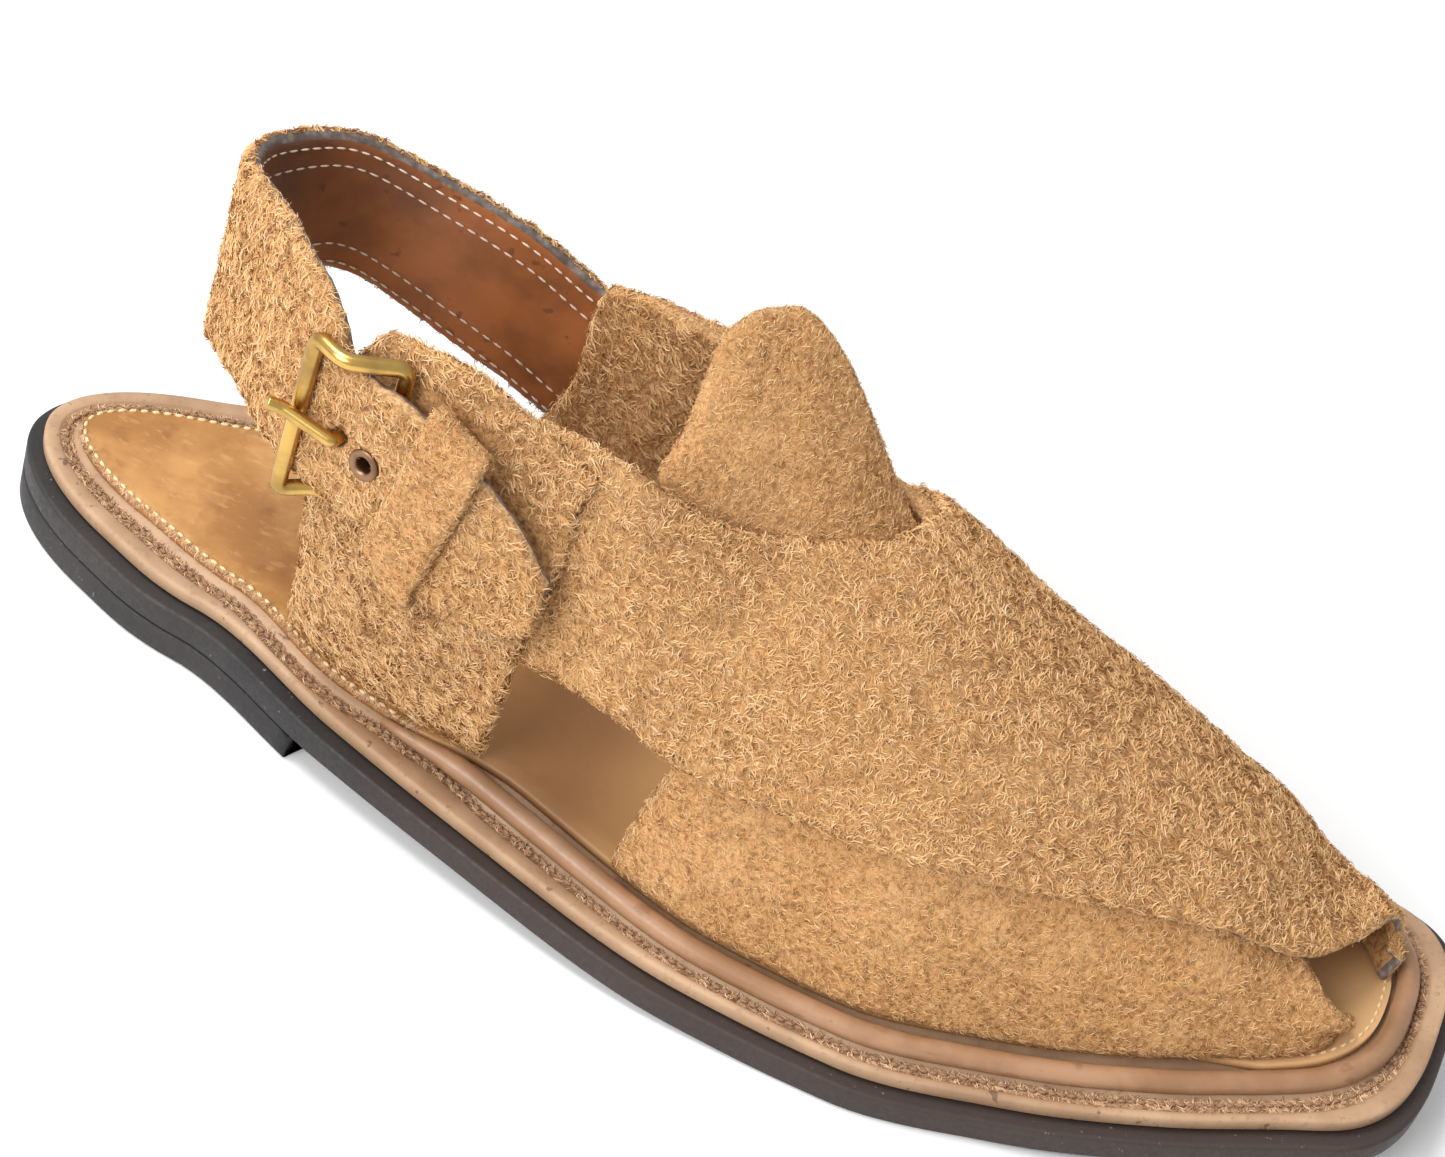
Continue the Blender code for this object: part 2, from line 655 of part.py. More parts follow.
def tube_along(path, radius, sides, closed):
    """Points and faces of a round bar along a path."""
    rings = []
    count = len(path)
    up = Vector((0.0, 1.0, 0.0))
    for i, point in enumerate(path):
        if closed:
            ahead = path[(i + 1) % count] - path[i - 1]
        else:
            ahead = path[min(i + 1, count - 1)] - path[max(i - 1, 0)]
        ahead.normalize()
        side = ahead.cross(up).normalized()
        other = side.cross(ahead)
        ring = []
        for j in range(sides):
            angle = 2 * math.pi * (j + 0.5) / sides
            ring.append(point + side * radius * math.cos(angle) + other * radius * math.sin(angle))
        rings.append(ring)
    return loft(rings, closed)


def buckle_corners():
    """Middles of the upper and lower side bars from the end bar, on the strap, to the hinge bar behind it."""
    bar = BUCKLE_BAR / 2 + 2 * FIT_GAP
    half = (BUCKLE_HEIGHT - BUCKLE_BAR) / 2
    hinge_at = turn_after(BUCKLE_AT, BUCKLE_LENGTH - BUCKLE_BAR)
    bend_at = blend(BUCKLE_AT, hinge_at, 0.42)
    level = strap_point(PRONG_AT, 0.5, 0.0).z
    high = []
    low = []
    for at, out in ((BUCKLE_AT, STRAP_WALL + bar), (bend_at, STRAP_WALL + bar), (hinge_at, -bar)):
        middle = strap_point(at, 0.5, out)
        middle.z = level
        slope = strap_point(at, 1.0, 0.0) - strap_point(at, 0.0, 0.0)
        slope.x = 0.0
        slope *= half / slope.z
        high.append(middle + slope)
        low.append(middle - slope)
    return high, low


def make_buckle_frame(finish, parent):
    high, low = buckle_corners()
    corners = high + low[::-1]
    path = []
    for i, corner in enumerate(corners):
        before = (corners[i - 1] - corner).normalized()
        after = (corners[(i + 1) % len(corners)] - corner).normalized()
        for t in (0.0, 0.33, 0.67, 1.0):
            start = corner + before * BUCKLE_BEND
            end = corner + after * BUCKLE_BEND
            path.append(start * (1 - t) ** 2 + corner * 2 * t * (1 - t) + end * t * t)
    return add_object("buckle_frame", *tube_along(path, BUCKLE_BAR / 2, 10, True), finish, parent)


def make_buckle_prong(finish, parent):
    """The prong starts at the hinge bar behind the strap, comes out through its hole and rests on the end bar."""
    high, low = buckle_corners()
    end = low[0].lerp(high[0], 0.56)
    hinge = low[2].lerp(high[2], 0.5)
    radius = PRONG_THICKNESS / 2
    out = across_strap(PRONG_AT, 0.5)
    hole = strap_point(PRONG_AT, 0.5, STRAP_WALL / 2)
    clear = BUCKLE_BAR / 2 + FIT_GAP + radius
    behind = hole - out * (STRAP_WALL * 1.2)
    root = hinge + (behind - hinge).normalized() * (clear - radius + 2 * FIT_GAP)
    over = end + across_strap(BUCKLE_AT, 0.5) * clear
    back = (end - hole).normalized()
    tip = over + back * PRONG_REACH + out * 4 * FIT_GAP
    points = [root, behind, hole + out * (STRAP_WALL * 1.1), over + out * FIT_GAP, tip]
    path = []
    places = [0.0, 0.3, 0.5, 0.85, 1.0]
    for i in range(21):
        at = i / 20
        path.append(Vector([smooth_between(places, [point[k] for point in points], at) for k in range(3)]))
    return add_object("buckle_prong", *tube_along(path, radius, 8, False), finish, parent)


def make_keeper(finish, parent):
    """A wide loop round the strap, slanted towards the toe at its upper end."""
    inside = FIT_GAP
    outside = FIT_GAP + KEEPER_WALL
    rows = []
    for edge in (-0.5, 0.0, 0.5):
        inner = []
        outer = []
        for share, side, end in KEEPER_ROUND:
            turn = turn_after(blend(KEEPER_LOW, KEEPER_HIGH, share), edge * KEEPER_WIDTH)
            face = STRAP_WALL if side > 0 else 0.0
            for off, line in ((inside, inner), (outside, outer)):
                point = strap_point(turn, share, face + side * off)
                point.z += end * (off + 3 * FIT_GAP)
                line.append(point)
        rows.append((inner, outer))
    rings = []
    for j in range(len(KEEPER_ROUND)):
        inner = [row[0][j] for row in rows]
        outer = [row[1][j] for row in rows]
        rings.append(inner + outer[::-1])
    return add_object("keeper", *loft(rings, closed=True), finish, parent)


def main():
    for old in list(bpy.data.objects):
        bpy.data.objects.remove(old, do_unlink=True)
    shoe = bpy.data.objects.new("shoe", None)
    bpy.context.scene.collection.objects.link(shoe)
    suede = material("camel suede", (0.58, 0.33, 0.13), 0.95)
    rubber = material("black brown rubber", (0.07, 0.055, 0.05), 0.6)
    taupe = material("taupe leather", (0.35, 0.20, 0.11), 0.55)
    make_heel_lift(rubber, shoe)
    make_outsole(rubber, shoe)
    make_midsole(taupe, shoe)
    make_insole(material("golden leather", (0.50, 0.25, 0.08), 0.4), shoe)
    make_rand(material("brown leather", (0.33, 0.17, 0.09), 0.45), shoe)
    make_upper(suede, shoe)
    make_tongue(suede, shoe)
    make_heel_strap(suede, shoe)
    make_keeper(suede, shoe)
    brass = material("brass", (0.75, 0.52, 0.20), 0.3, 1.0)
    make_buckle_frame(brass, shoe)
    make_buckle_prong(brass, shoe)
    make_eyelet(material("bronze", (0.40, 0.24, 0.13), 0.4, 1.0), shoe)
    outer = min(edge_across(i / 100, -1, -OUTSOLE_LEDGE) for i in range(101))
    inner = max(edge_across(i / 100, 1, -OUTSOLE_LEDGE) for i in range(101))
    shoe.location.y = -(outer + inner) / 2


main()
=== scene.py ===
"""Looks of a peshawari chappal for the right foot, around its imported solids: suede with its nap and frayed
edges, a lined heel strap, brass buckle, welted rand and a rubber sole. Heel to toe is +X, the outer side -Y."""
import json
import math
from collections import namedtuple
from functools import lru_cache

import bmesh
import bpy
from mathutils import Matrix, Vector, noise
from mathutils.bvhtree import BVHTree

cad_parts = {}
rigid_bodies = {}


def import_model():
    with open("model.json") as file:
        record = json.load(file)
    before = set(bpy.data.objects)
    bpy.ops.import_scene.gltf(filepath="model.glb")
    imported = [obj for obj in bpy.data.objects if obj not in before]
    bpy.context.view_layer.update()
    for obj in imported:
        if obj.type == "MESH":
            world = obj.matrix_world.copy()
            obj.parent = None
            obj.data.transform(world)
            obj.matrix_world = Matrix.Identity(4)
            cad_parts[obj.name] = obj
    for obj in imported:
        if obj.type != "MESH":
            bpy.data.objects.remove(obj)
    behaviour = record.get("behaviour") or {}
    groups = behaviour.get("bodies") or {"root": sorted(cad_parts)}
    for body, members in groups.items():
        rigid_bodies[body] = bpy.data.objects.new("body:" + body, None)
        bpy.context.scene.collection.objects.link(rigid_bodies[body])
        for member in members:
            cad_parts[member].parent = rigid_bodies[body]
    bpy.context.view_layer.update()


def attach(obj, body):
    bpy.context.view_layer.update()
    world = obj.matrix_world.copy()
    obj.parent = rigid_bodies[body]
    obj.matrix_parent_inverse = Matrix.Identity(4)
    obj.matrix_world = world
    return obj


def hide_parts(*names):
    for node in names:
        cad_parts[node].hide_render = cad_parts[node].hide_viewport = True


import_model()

# Driving sizes, in metres
SOLE_LENGTH = 0.300
BALL_WIDTH = 0.100
HEEL_WIDTH = 0.062
INSTEP_HEIGHT = 0.080
HEEL_LIFT = 0.0066
TOE_SPRING = 0.0099
OUTSOLE_THICKNESS = 0.0058
OUTSOLE_LEDGE = 0.0030
SOLE_EDGE_ROUND = 0.0008
MIDSOLE_THICKNESS = 0.0035
SEAM_WIDTH = 0.0030
SEAM_DEPTH = 0.0008
SEAM_LIP = 0.0003
INSOLE_THICKNESS = 0.0018
RAND_DIAMETER = 0.0046
RAND_EDGE = 0.0085
HEEL_EDGE = 0.0065
SUEDE_WALL = 0.0030
TONGUE_WALL = 0.0026
STRAP_WALL = 0.0034
KEEPER_WIDTH = 0.0125
KEEPER_WALL = 0.0026
BUCKLE_HEIGHT = 0.0375
BUCKLE_LENGTH = 0.0190
BUCKLE_BAR = 0.0032
BUCKLE_BEND = 0.0022
PRONG_THICKNESS = 0.0026
PRONG_REACH = 0.0030
EYELET_RADIUS = 0.0024
EYELET_WALL = 0.0008

# Fits between pieces
FIT_GAP = 0.0003
SEWN_LAP = 0.0005

# Outline of the midsole: each half is a share of the heel width and a share of the ball width, added up
Outline = namedtuple("Outline", "along outer_heel outer_ball inner_heel inner_ball")
OUTLINE = [
    Outline(0.00, 0.34, 0.000, 0.40, 0.000),
    Outline(0.08, 0.36, 0.000, 0.45, 0.000),
    Outline(0.16, 0.42, 0.005, 0.56, 0.000),
    Outline(0.28, 0.24, 0.240, 0.40, 0.105),
    Outline(0.42, 0.02, 0.480, 0.06, 0.275),
    Outline(0.55, 0.00, 0.550, 0.00, 0.350),
    Outline(0.66, 0.00, 0.542, 0.00, 0.450),
    Outline(0.76, 0.00, 0.460, 0.00, 0.500),
    Outline(0.86, 0.00, 0.345, 0.00, 0.485),
    Outline(0.94, 0.00, 0.230, 0.00, 0.430),
    Outline(1.00, 0.00, 0.155, 0.00, 0.375),
]
HEEL_ROUNDING = (0.13, 1.9)
TOE_ROUNDING = (0.055, 3.0)

# Rise of the outsole's underside above the floor, as shares of the heel lift and of the toe spring
Rise = namedtuple("Rise", "along heel toe")
RISES = [
    Rise(0.00, 1.12, 0.0),
    Rise(0.10, 1.00, 0.0),
    Rise(0.25, 0.97, 0.0),
    Rise(0.36, 0.78, 0.0),
    Rise(0.48, 0.40, 0.0),
    Rise(0.58, 0.08, 0.0),
    Rise(0.63, 0.00, 0.0),
    Rise(0.71, 0.00, 0.0),
    Rise(0.78, 0.00, 0.07),
    Rise(0.86, 0.00, 0.32),
    Rise(1.00, 0.00, 1.00),
]
HEEL_BREAST = 0.26

# Sections of the last. A bulge is how far the wall stands beyond its foot, as a share of the ball width, and
# the crest's place is a share of the ball width from the middle line, with the outer side negative. Its
# height above the insole is a share of the instep height. The wall is tucked in towards its foot below a
# share of the same height.
TUCK_SHARE = 0.45
Section = namedtuple("Section", "along outer_bulge inner_bulge crest_across crest_height squareness")
LAST = [
    Section(0.15, 0.11, 0.00, -0.08, 1.70, 3.5),
    Section(0.28, 0.05, 0.03, -0.08, 1.56, 3.2),
    Section(0.38, 0.035, 0.09, -0.05, 1.27, 2.6),
    Section(0.44, 0.025, 0.10, 0.05, 1.00, 3.0),
    Section(0.50, 0.005, 0.08, 0.09, 0.89, 2.5),
    Section(0.59, 0.00, 0.05, 0.085, 0.81, 2.3),
    Section(0.68, 0.00, 0.01, 0.07, 0.675, 2.2),
    Section(0.79, 0.00, 0.00, 0.085, 0.505, 2.2),
    Section(0.90, 0.00, 0.00, 0.12, 0.30, 2.3),
    Section(1.00, 0.00, 0.00, 0.20, 0.15, 2.6),
]

# Distance from the midsole's edge to the inner side of the rand, as shares of the heel and the rand edge
Feather = namedtuple("Feather", "along heel rand")
FEATHERS = [
    Feather(0.00, 1.0, 0.00),
    Feather(0.12, 1.0, 0.00),
    Feather(0.22, 0.7, 0.00),
    Feather(0.30, 0.4, 0.50),
    Feather(0.37, 0.0, 1.25),
    Feather(0.46, 0.0, 1.20),
    Feather(0.58, 0.0, 1.00),
    Feather(0.92, 0.0, 1.00),
    Feather(1.00, 0.0, 1.25),
]

# Places on the last: share of the length, then share of the way round it from the outer foot to the
# inner foot. A layer of 0 is the lining on the last, and 1 lies on one wall of suede.
Edge = namedtuple("Edge", "back_along back_around front_along front_around back_layer front_layer")
UNDER_STRAP = [
    Edge(0.481, 0.000, 0.996, 0.000, 0.0, 0.0),
    Edge(0.490, 0.060, 0.985, 0.100, 0.0, 0.0),
    Edge(0.515, 0.200, 0.950, 0.270, 0.0, 0.0),
    Edge(0.560, 0.380, 0.900, 0.440, 0.0, 0.0),
    Edge(0.574, 0.520, 0.820, 0.660, 0.0, 0.0),
    Edge(0.535, 0.600, 0.700, 0.800, 0.0, 0.0),
    Edge(0.460, 0.665, 0.540, 0.870, 0.0, 0.0),
    Edge(0.345, 0.815, 0.345, 0.930, 0.0, 0.0),
]
OVER_STRAP = [
    Edge(0.481, 1.000, 0.998, 1.000, 0.0, 0.0),
    Edge(0.495, 0.900, 0.998, 0.800, 0.9, 0.6),
    Edge(0.535, 0.720, 0.985, 0.550, 1.0, 1.0),
    Edge(0.580, 0.550, 0.920, 0.335, 1.0, 1.0),
    Edge(0.560, 0.455, 0.820, 0.265, 1.0, 1.0),
    Edge(0.500, 0.378, 0.690, 0.200, 1.0, 1.0),
    Edge(0.430, 0.315, 0.530, 0.135, 1.0, 1.0),
    Edge(0.335, 0.215, 0.335, 0.060, 0.2, 0.2),
]
OUTER_QUARTER = [
    Edge(0.212, 0.000, 0.360, 0.000, 0.0, 0.0),
    Edge(0.214, 0.020, 0.368, 0.050, 0.0, 0.8),
    Edge(0.206, 0.055, 0.373, 0.090, 0.0, 1.4),
    Edge(0.209, 0.100, 0.378, 0.145, 0.0, 1.4),
    Edge(0.221, 0.135, 0.376, 0.195, 0.0, 1.4),
    Edge(0.236, 0.165, 0.377, 0.242, 0.0, 1.4),
]
INNER_QUARTER = [
    Edge(0.240, 1.000, 0.395, 1.000, 0.0, 0.0),
    Edge(0.292, 0.965, 0.400, 0.940, 0.0, 0.5),
    Edge(0.303, 0.930, 0.410, 0.890, 0.0, 1.0),
    Edge(0.303, 0.895, 0.420, 0.820, 0.0, 1.0),
    Edge(0.308, 0.862, 0.425, 0.710, 0.0, 1.0),
]

# The tongue's ribs from its outer to its inner side: places on the last where the rib starts under the
# vamp, the layer that it lies in at the throat, and shares of the named sizes for its upper end
Rib = namedtuple("Rib", "base_along base_around neck_lift tip_along tip_across tip_height")
TONGUE = [
    Rib(0.420, 0.305, 0.75, 0.417, -0.180, 1.120),
    Rib(0.436, 0.325, 0.75, 0.420, -0.120, 1.250),
    Rib(0.462, 0.350, 0.75, 0.418, -0.070, 1.390),
    Rib(0.495, 0.375, 0.60, 0.433, -0.010, 1.475),
    Rib(0.525, 0.400, 0.40, 0.453, 0.050, 1.480),
    Rib(0.553, 0.430, 0.10, 0.482, 0.092, 1.390),
    Rib(0.575, 0.470, 0.00, 0.520, 0.115, 1.195),
    Rib(0.586, 0.520, 0.00, 0.548, 0.130, 1.030),
]

# The heel strap's stations, from its sewn end on the inner quarter round the heel to its tip. Along, across
# and heights are shares of the sole's length, of its half width there and of the instep height, and the lean
# is a share of the ball width.
Station = namedtuple("Station", "turn along across low high lean")
STRAP = [
    Station(0.00, 0.385, 1.058, 0.48, 0.93, 0.00),
    Station(0.09, 0.315, 0.951, 0.53, 1.00, -0.02),
    Station(0.19, 0.260, 0.866, 0.62, 1.10, -0.03),
    Station(0.30, 0.190, 0.751, 0.73, 1.17, -0.03),
    Station(0.38, 0.140, 0.469, 0.84, 1.24, 0.00),
    Station(0.46, 0.112, -0.053, 0.79, 1.29, 0.00),
    Station(0.53, 0.122, -0.500, 0.85, 1.35, 0.02),
    Station(0.60, 0.164, -0.915, 0.93, 1.39, 0.05),
    Station(0.66, 0.202, -1.128, 0.93, 1.37, 0.06),
    Station(0.695, 0.225, -1.142, 0.90, 1.33, 0.03),
    Station(0.72, 0.242, -1.129, 0.90, 1.245, 0.02),
    Station(0.77, 0.274, -1.084, 0.90, 1.245, 0.02),
    Station(0.84, 0.310, -1.042, 0.79, 1.20, 0.02),
    Station(0.92, 0.355, -0.973, 0.77, 1.11, 0.02),
    Station(1.00, 0.392, -0.906, 0.85, 0.96, 0.02),
]

# The keeper's middle at the strap's lower and upper edge, and the places of the metal, as turns of the strap
KEEPER_LOW = 0.816
KEEPER_HIGH = 0.850
BUCKLE_AT = 0.690
PRONG_AT = 0.725
EYELET_AT = 0.758
EYELET_SHARE = 0.45

# How much further in the insole's edge lies where the upper is sewn over it
SEWN_INSET = 0.0026

# The rand starts at a share of the length on each side, and is full a share further on
RAND_START = 0.30
RAND_TAPER = 0.09
RAND_SIDES = 14

# The toe is pressed down by a share of its height, from one place to another along the shoe
TOE_SINK = 0.3
TOE_SINK_FROM = 0.1
TOE_SINK_TO = 0.124

# Near the foot of the last, over a share of the way round it, walls stand upright and don't lean outwards
FOOT_SHARE = 0.08


def blend(low, high, share):
    return low + (high - low) * share


def smooth_value(rows, column, along):
    """A column's value at a share of the length, on a curve through the rows that never overshoots."""
    places = [row[0] for row in rows]
    values = [getattr(row, column) for row in rows]
    return smooth_between(places, values, along)


def smooth_between(places, values, at):
    at = min(max(at, places[0]), places[-1])
    last = len(places) - 1
    slopes = [(values[i + 1] - values[i]) / (places[i + 1] - places[i]) for i in range(last)]
    span = next((i for i in range(last) if at <= places[i + 1]), last - 1)

    def tangent(i):
        if i == 0:
            return slopes[0]
        if i == last:
            return slopes[-1]
        if slopes[i - 1] * slopes[i] <= 0:
            return 0.0
        return 2.0 * slopes[i - 1] * slopes[i] / (slopes[i - 1] + slopes[i])

    width = places[span + 1] - places[span]
    t = (at - places[span]) / width
    start = values[span] * (1 + 2 * t) * (1 - t) ** 2 + values[span + 1] * t * t * (3 - 2 * t)
    return start + width * (tangent(span) * t * (1 - t) ** 2 - tangent(span + 1) * t * t * (1 - t))


# Sole line

def along_to_x(along, inset=0.0):
    return (along - 0.5) * (SOLE_LENGTH - 2.0 * inset)


def end_rounding(along):
    """How much of the half width is left near the heel's back and the toe's end."""
    factor = 1.0
    for distance, (reach, power) in ((along, HEEL_ROUNDING), (1.0 - along, TOE_ROUNDING)):
        if distance < reach:
            factor *= max(0.0, 1.0 - (1.0 - distance / reach) ** power) ** (1.0 / power)
    return factor


@lru_cache(maxsize=None)
def half_width(along, side):
    """Half width of the midsole on the outer (-1) or inner (1) side, before its ends are rounded."""
    name = "outer" if side < 0 else "inner"
    return (smooth_value(OUTLINE, name + "_heel", along) * HEEL_WIDTH
            + smooth_value(OUTLINE, name + "_ball", along) * BALL_WIDTH)


@lru_cache(maxsize=None)
def middle_line(along):
    return (half_width(along, 1) - half_width(along, -1)) / 2.0


def edge_across(along, side, inset):
    """Place across the sole of its edge, moved in by inset and rounded at both ends."""
    half = (half_width(along, 1) + half_width(along, -1)) / 2.0 - inset
    return middle_line(along) + side * half * end_rounding(along)


@lru_cache(maxsize=None)
def underside(x):
    along = x / SOLE_LENGTH + 0.5
    return smooth_value(RISES, "heel", along) * HEEL_LIFT + smooth_value(RISES, "toe", along) * TOE_SPRING


def outsole_top(x):
    return underside(x) + OUTSOLE_THICKNESS


def midsole_top(x):
    return outsole_top(x) + FIT_GAP + MIDSOLE_THICKNESS


def insole_top(x):
    return midsole_top(x) + FIT_GAP + INSOLE_THICKNESS


@lru_cache(maxsize=None)
def feather(along):
    """Inset of the rand's inner side, which is also the insole's edge and the foot of the upper."""
    return (smooth_value(FEATHERS, "heel", along) * HEEL_EDGE
            + smooth_value(FEATHERS, "rand", along) * RAND_EDGE)


# The last and what lies on it

def last_point(along, around):
    """A point of the last's surface: around runs from the outer foot (0) over the crest to the inner foot."""
    inset = feather(along) + SUEDE_WALL + 2.5 * FIT_GAP
    x = along_to_x(along, inset)
    side = -1 if around < 0.5 else 1
    bulge = smooth_value(LAST, "outer_bulge" if side < 0 else "inner_bulge", along) * BALL_WIDTH
    crest = smooth_value(LAST, "crest_across", along) * BALL_WIDTH
    foot = edge_across(along, side, inset)
    power = 2.0 / smooth_value(LAST, "squareness", along)
    angle = math.pi * min(max(around, 0.0), 1.0)
    rise = abs(math.sin(angle)) ** power * smooth_value(LAST, "crest_height", along) * INSTEP_HEIGHT
    reach = foot + side * bulge
    across = crest + (reach - crest) * abs(math.cos(angle)) ** power
    tuck = max(0.0, 1.0 - rise / (TUCK_SHARE * INSTEP_HEIGHT)) ** 2
    return Vector((x, across - side * bulge * tuck, insole_top(x) + 3 * FIT_GAP + rise))


def raised_point(along, around, height):
    """A point off the last's surface along its normal, kept on the insole at the foot."""
    step = 0.004
    low, high = max(around - step, 0.0), min(around + step, 1.0)
    forward = last_point(min(along + step, 1.0), around) - last_point(along - step, around)
    round_it = last_point(along, high) - last_point(along, low)
    normal = forward.cross(round_it).normalized()
    normal.z *= min(1.0, min(around, 1.0 - around) / FOOT_SHARE)
    return last_point(along, around) + normal.normalized() * height


def filled_rows(rows, count):
    """The rows of a table, filled in to an even count on smooth curves through its columns."""
    places = [i / (len(rows) - 1) for i in range(len(rows))]
    kind = type(rows[0])
    columns = [[row[k] for row in rows] for k in range(len(kind._fields))]
    return [kind(*[smooth_between(places, column, i / count) for column in columns]) for i in range(count + 1)]


@lru_cache(maxsize=None)
def strap_place(turn):
    values = {}
    turns = [row.turn for row in STRAP]
    for column in ("along", "across", "low", "high", "lean"):
        values[column] = smooth_between(turns, [getattr(row, column) for row in STRAP], turn)
    half = (half_width(values["along"], 1) + half_width(values["along"], -1)) / 2.0
    values["across"] = middle_line(values["along"]) + values["across"] * half
    return values


def strap_point(turn, share, out):
    """A point of the strap: share runs from its lower edge up, and out is the distance off its lining."""
    here = strap_place(turn)
    behind = strap_place(max(turn - 0.01, 0.0))
    ahead = strap_place(min(turn + 0.01, 1.0))
    forward = Vector((
        (ahead["along"] - behind["along"]) * SOLE_LENGTH, ahead["across"] - behind["across"], 0.0
    )).normalized()
    outward = Vector((forward.y, -forward.x, 0.0))
    height = blend(here["low"], here["high"], share) * INSTEP_HEIGHT
    middle = Vector(((here["along"] - 0.5) * SOLE_LENGTH, here["across"], height))
    lean = here["lean"] * BALL_WIDTH * (share - 0.5)
    return middle + outward * out + Vector((0.0, lean, 0.0))


def turn_after(turn, distance):
    """The place on the strap at a distance further towards its tip, or back from it where that is negative."""
    step = math.copysign(0.002, distance)
    left = abs(distance)
    while 0.0 < turn < 1.0:
        length = (strap_point(turn + step, 0.5, 0.0) - strap_point(turn, 0.5, 0.0)).length
        if length >= left:
            return turn + step * left / length
        left -= length
        turn += step
    return turn


def across_strap(at, share):
    """The direction out of the strap's face at a place on it."""
    forward = strap_point(at + 0.01, share, STRAP_WALL) - strap_point(at - 0.01, share, STRAP_WALL)
    up = strap_point(at, share + 0.05, STRAP_WALL) - strap_point(at, share - 0.05, STRAP_WALL)
    return forward.cross(up).normalized()


def turned_ring(middle, axis, radius, count):
    """Points on a circle about an axis."""
    side = axis.cross(Vector((0.0, 0.0, 1.0))).normalized()
    up = side.cross(axis)
    angles = [2 * math.pi * i / count for i in range(count)]
    return [middle + side * radius * math.cos(angle) + up * radius * math.sin(angle) for angle in angles]


def tube_along(path, radius, sides, closed):
    """Points and faces of a round bar along a path."""
    rings = []
    count = len(path)
    up = Vector((0.0, 1.0, 0.0))
    for i, point in enumerate(path):
        if closed:
            ahead = path[(i + 1) % count] - path[i - 1]
        else:
            ahead = path[min(i + 1, count - 1)] - path[max(i - 1, 0)]
        ahead.normalize()
        side = ahead.cross(up).normalized()
        other = side.cross(ahead)
        ring = []
        for j in range(sides):
            angle = 2 * math.pi * (j + 0.5) / sides
            ring.append(point + side * radius * math.cos(angle) + other * radius * math.sin(angle))
        rings.append(ring)
    return tube(rings, closed)


def buckle_corners():
    """Middles of the upper and lower side bars from the end bar, on the strap, to the hinge bar behind it."""
    bar = BUCKLE_BAR / 2 + 2 * FIT_GAP
    half = (BUCKLE_HEIGHT - BUCKLE_BAR) / 2
    hinge_at = turn_after(BUCKLE_AT, BUCKLE_LENGTH - BUCKLE_BAR)
    bend_at = blend(BUCKLE_AT, hinge_at, 0.42)
    level = strap_point(PRONG_AT, 0.5, 0.0).z
    high = []
    low = []
    for at, out in ((BUCKLE_AT, STRAP_WALL + bar), (bend_at, STRAP_WALL + bar), (hinge_at, -bar)):
        middle = strap_point(at, 0.5, out)
        middle.z = level
        slope = strap_point(at, 1.0, 0.0) - strap_point(at, 0.0, 0.0)
        slope.x = 0.0
        slope *= half / slope.z
        high.append(middle + slope)
        low.append(middle - slope)
    return high, low


# Sheets and slabs

# The tables have the shoe's middle line at zero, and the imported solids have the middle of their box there
SHIFT = Vector((0.0, -(min(edge_across(i / 100, -1, -OUTSOLE_LEDGE) for i in range(101))
                       + max(edge_across(i / 100, 1, -OUTSOLE_LEDGE) for i in range(101))) / 2, 0.0))
FACE, LINING, CUT_EDGE, FRAYED_EDGE = 0, 1, 2, 3


def put(name, data):
    """A new object in the scene."""
    made = bpy.data.objects.new(name, data)
    bpy.context.scene.collection.objects.link(made)
    return made


def add_piece(name, points, faces, finishes, marks=None):
    """A piece from points and faces in the shoe's own frame. Marks say which finish each face has."""
    mesh = bpy.data.meshes.new(name)
    mesh.from_pydata([point + SHIFT for point in points], [], faces)
    for finish in finishes:
        mesh.materials.append(finish)
    if marks:
        mesh.polygons.foreach_set("material_index", marks)
    shell = bmesh.new()
    shell.from_mesh(mesh)
    bmesh.ops.remove_doubles(shell, verts=shell.verts, dist=1e-7)
    bmesh.ops.recalc_face_normals(shell, faces=shell.faces)
    if shell.calc_volume(signed=True) < 0:
        bmesh.ops.reverse_faces(shell, faces=shell.faces)
    shell.to_mesh(mesh)
    shell.free()
    mesh.polygons.foreach_set("use_smooth", [True] * len(mesh.polygons))
    return put(name, mesh)


def settle(piece, slot, *nodes):
    """The piece rides on the shoe and stands for the solids that it covers."""
    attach(piece, "root")
    if nodes:
        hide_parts(*nodes)
    return piece


def shown_mesh(piece):
    """A plain mesh of what the piece's modifiers make."""
    bpy.context.view_layer.update()
    return bpy.data.meshes.new_from_object(piece.evaluated_get(bpy.context.evaluated_depsgraph_get()))


def plain_mesh(piece):
    """The piece with its modifiers turned into mesh."""
    mesh = shown_mesh(piece)
    piece.modifiers.clear()
    old = piece.data
    piece.data = mesh
    bpy.data.meshes.remove(old)
    return piece


def subdivide(piece):
    """The piece with each of its faces split in four and its corners rounded."""
    smooth = piece.modifiers.new("smooth", "SUBSURF")
    smooth.levels = 1
    smooth.render_levels = 1
    return plain_mesh(piece)


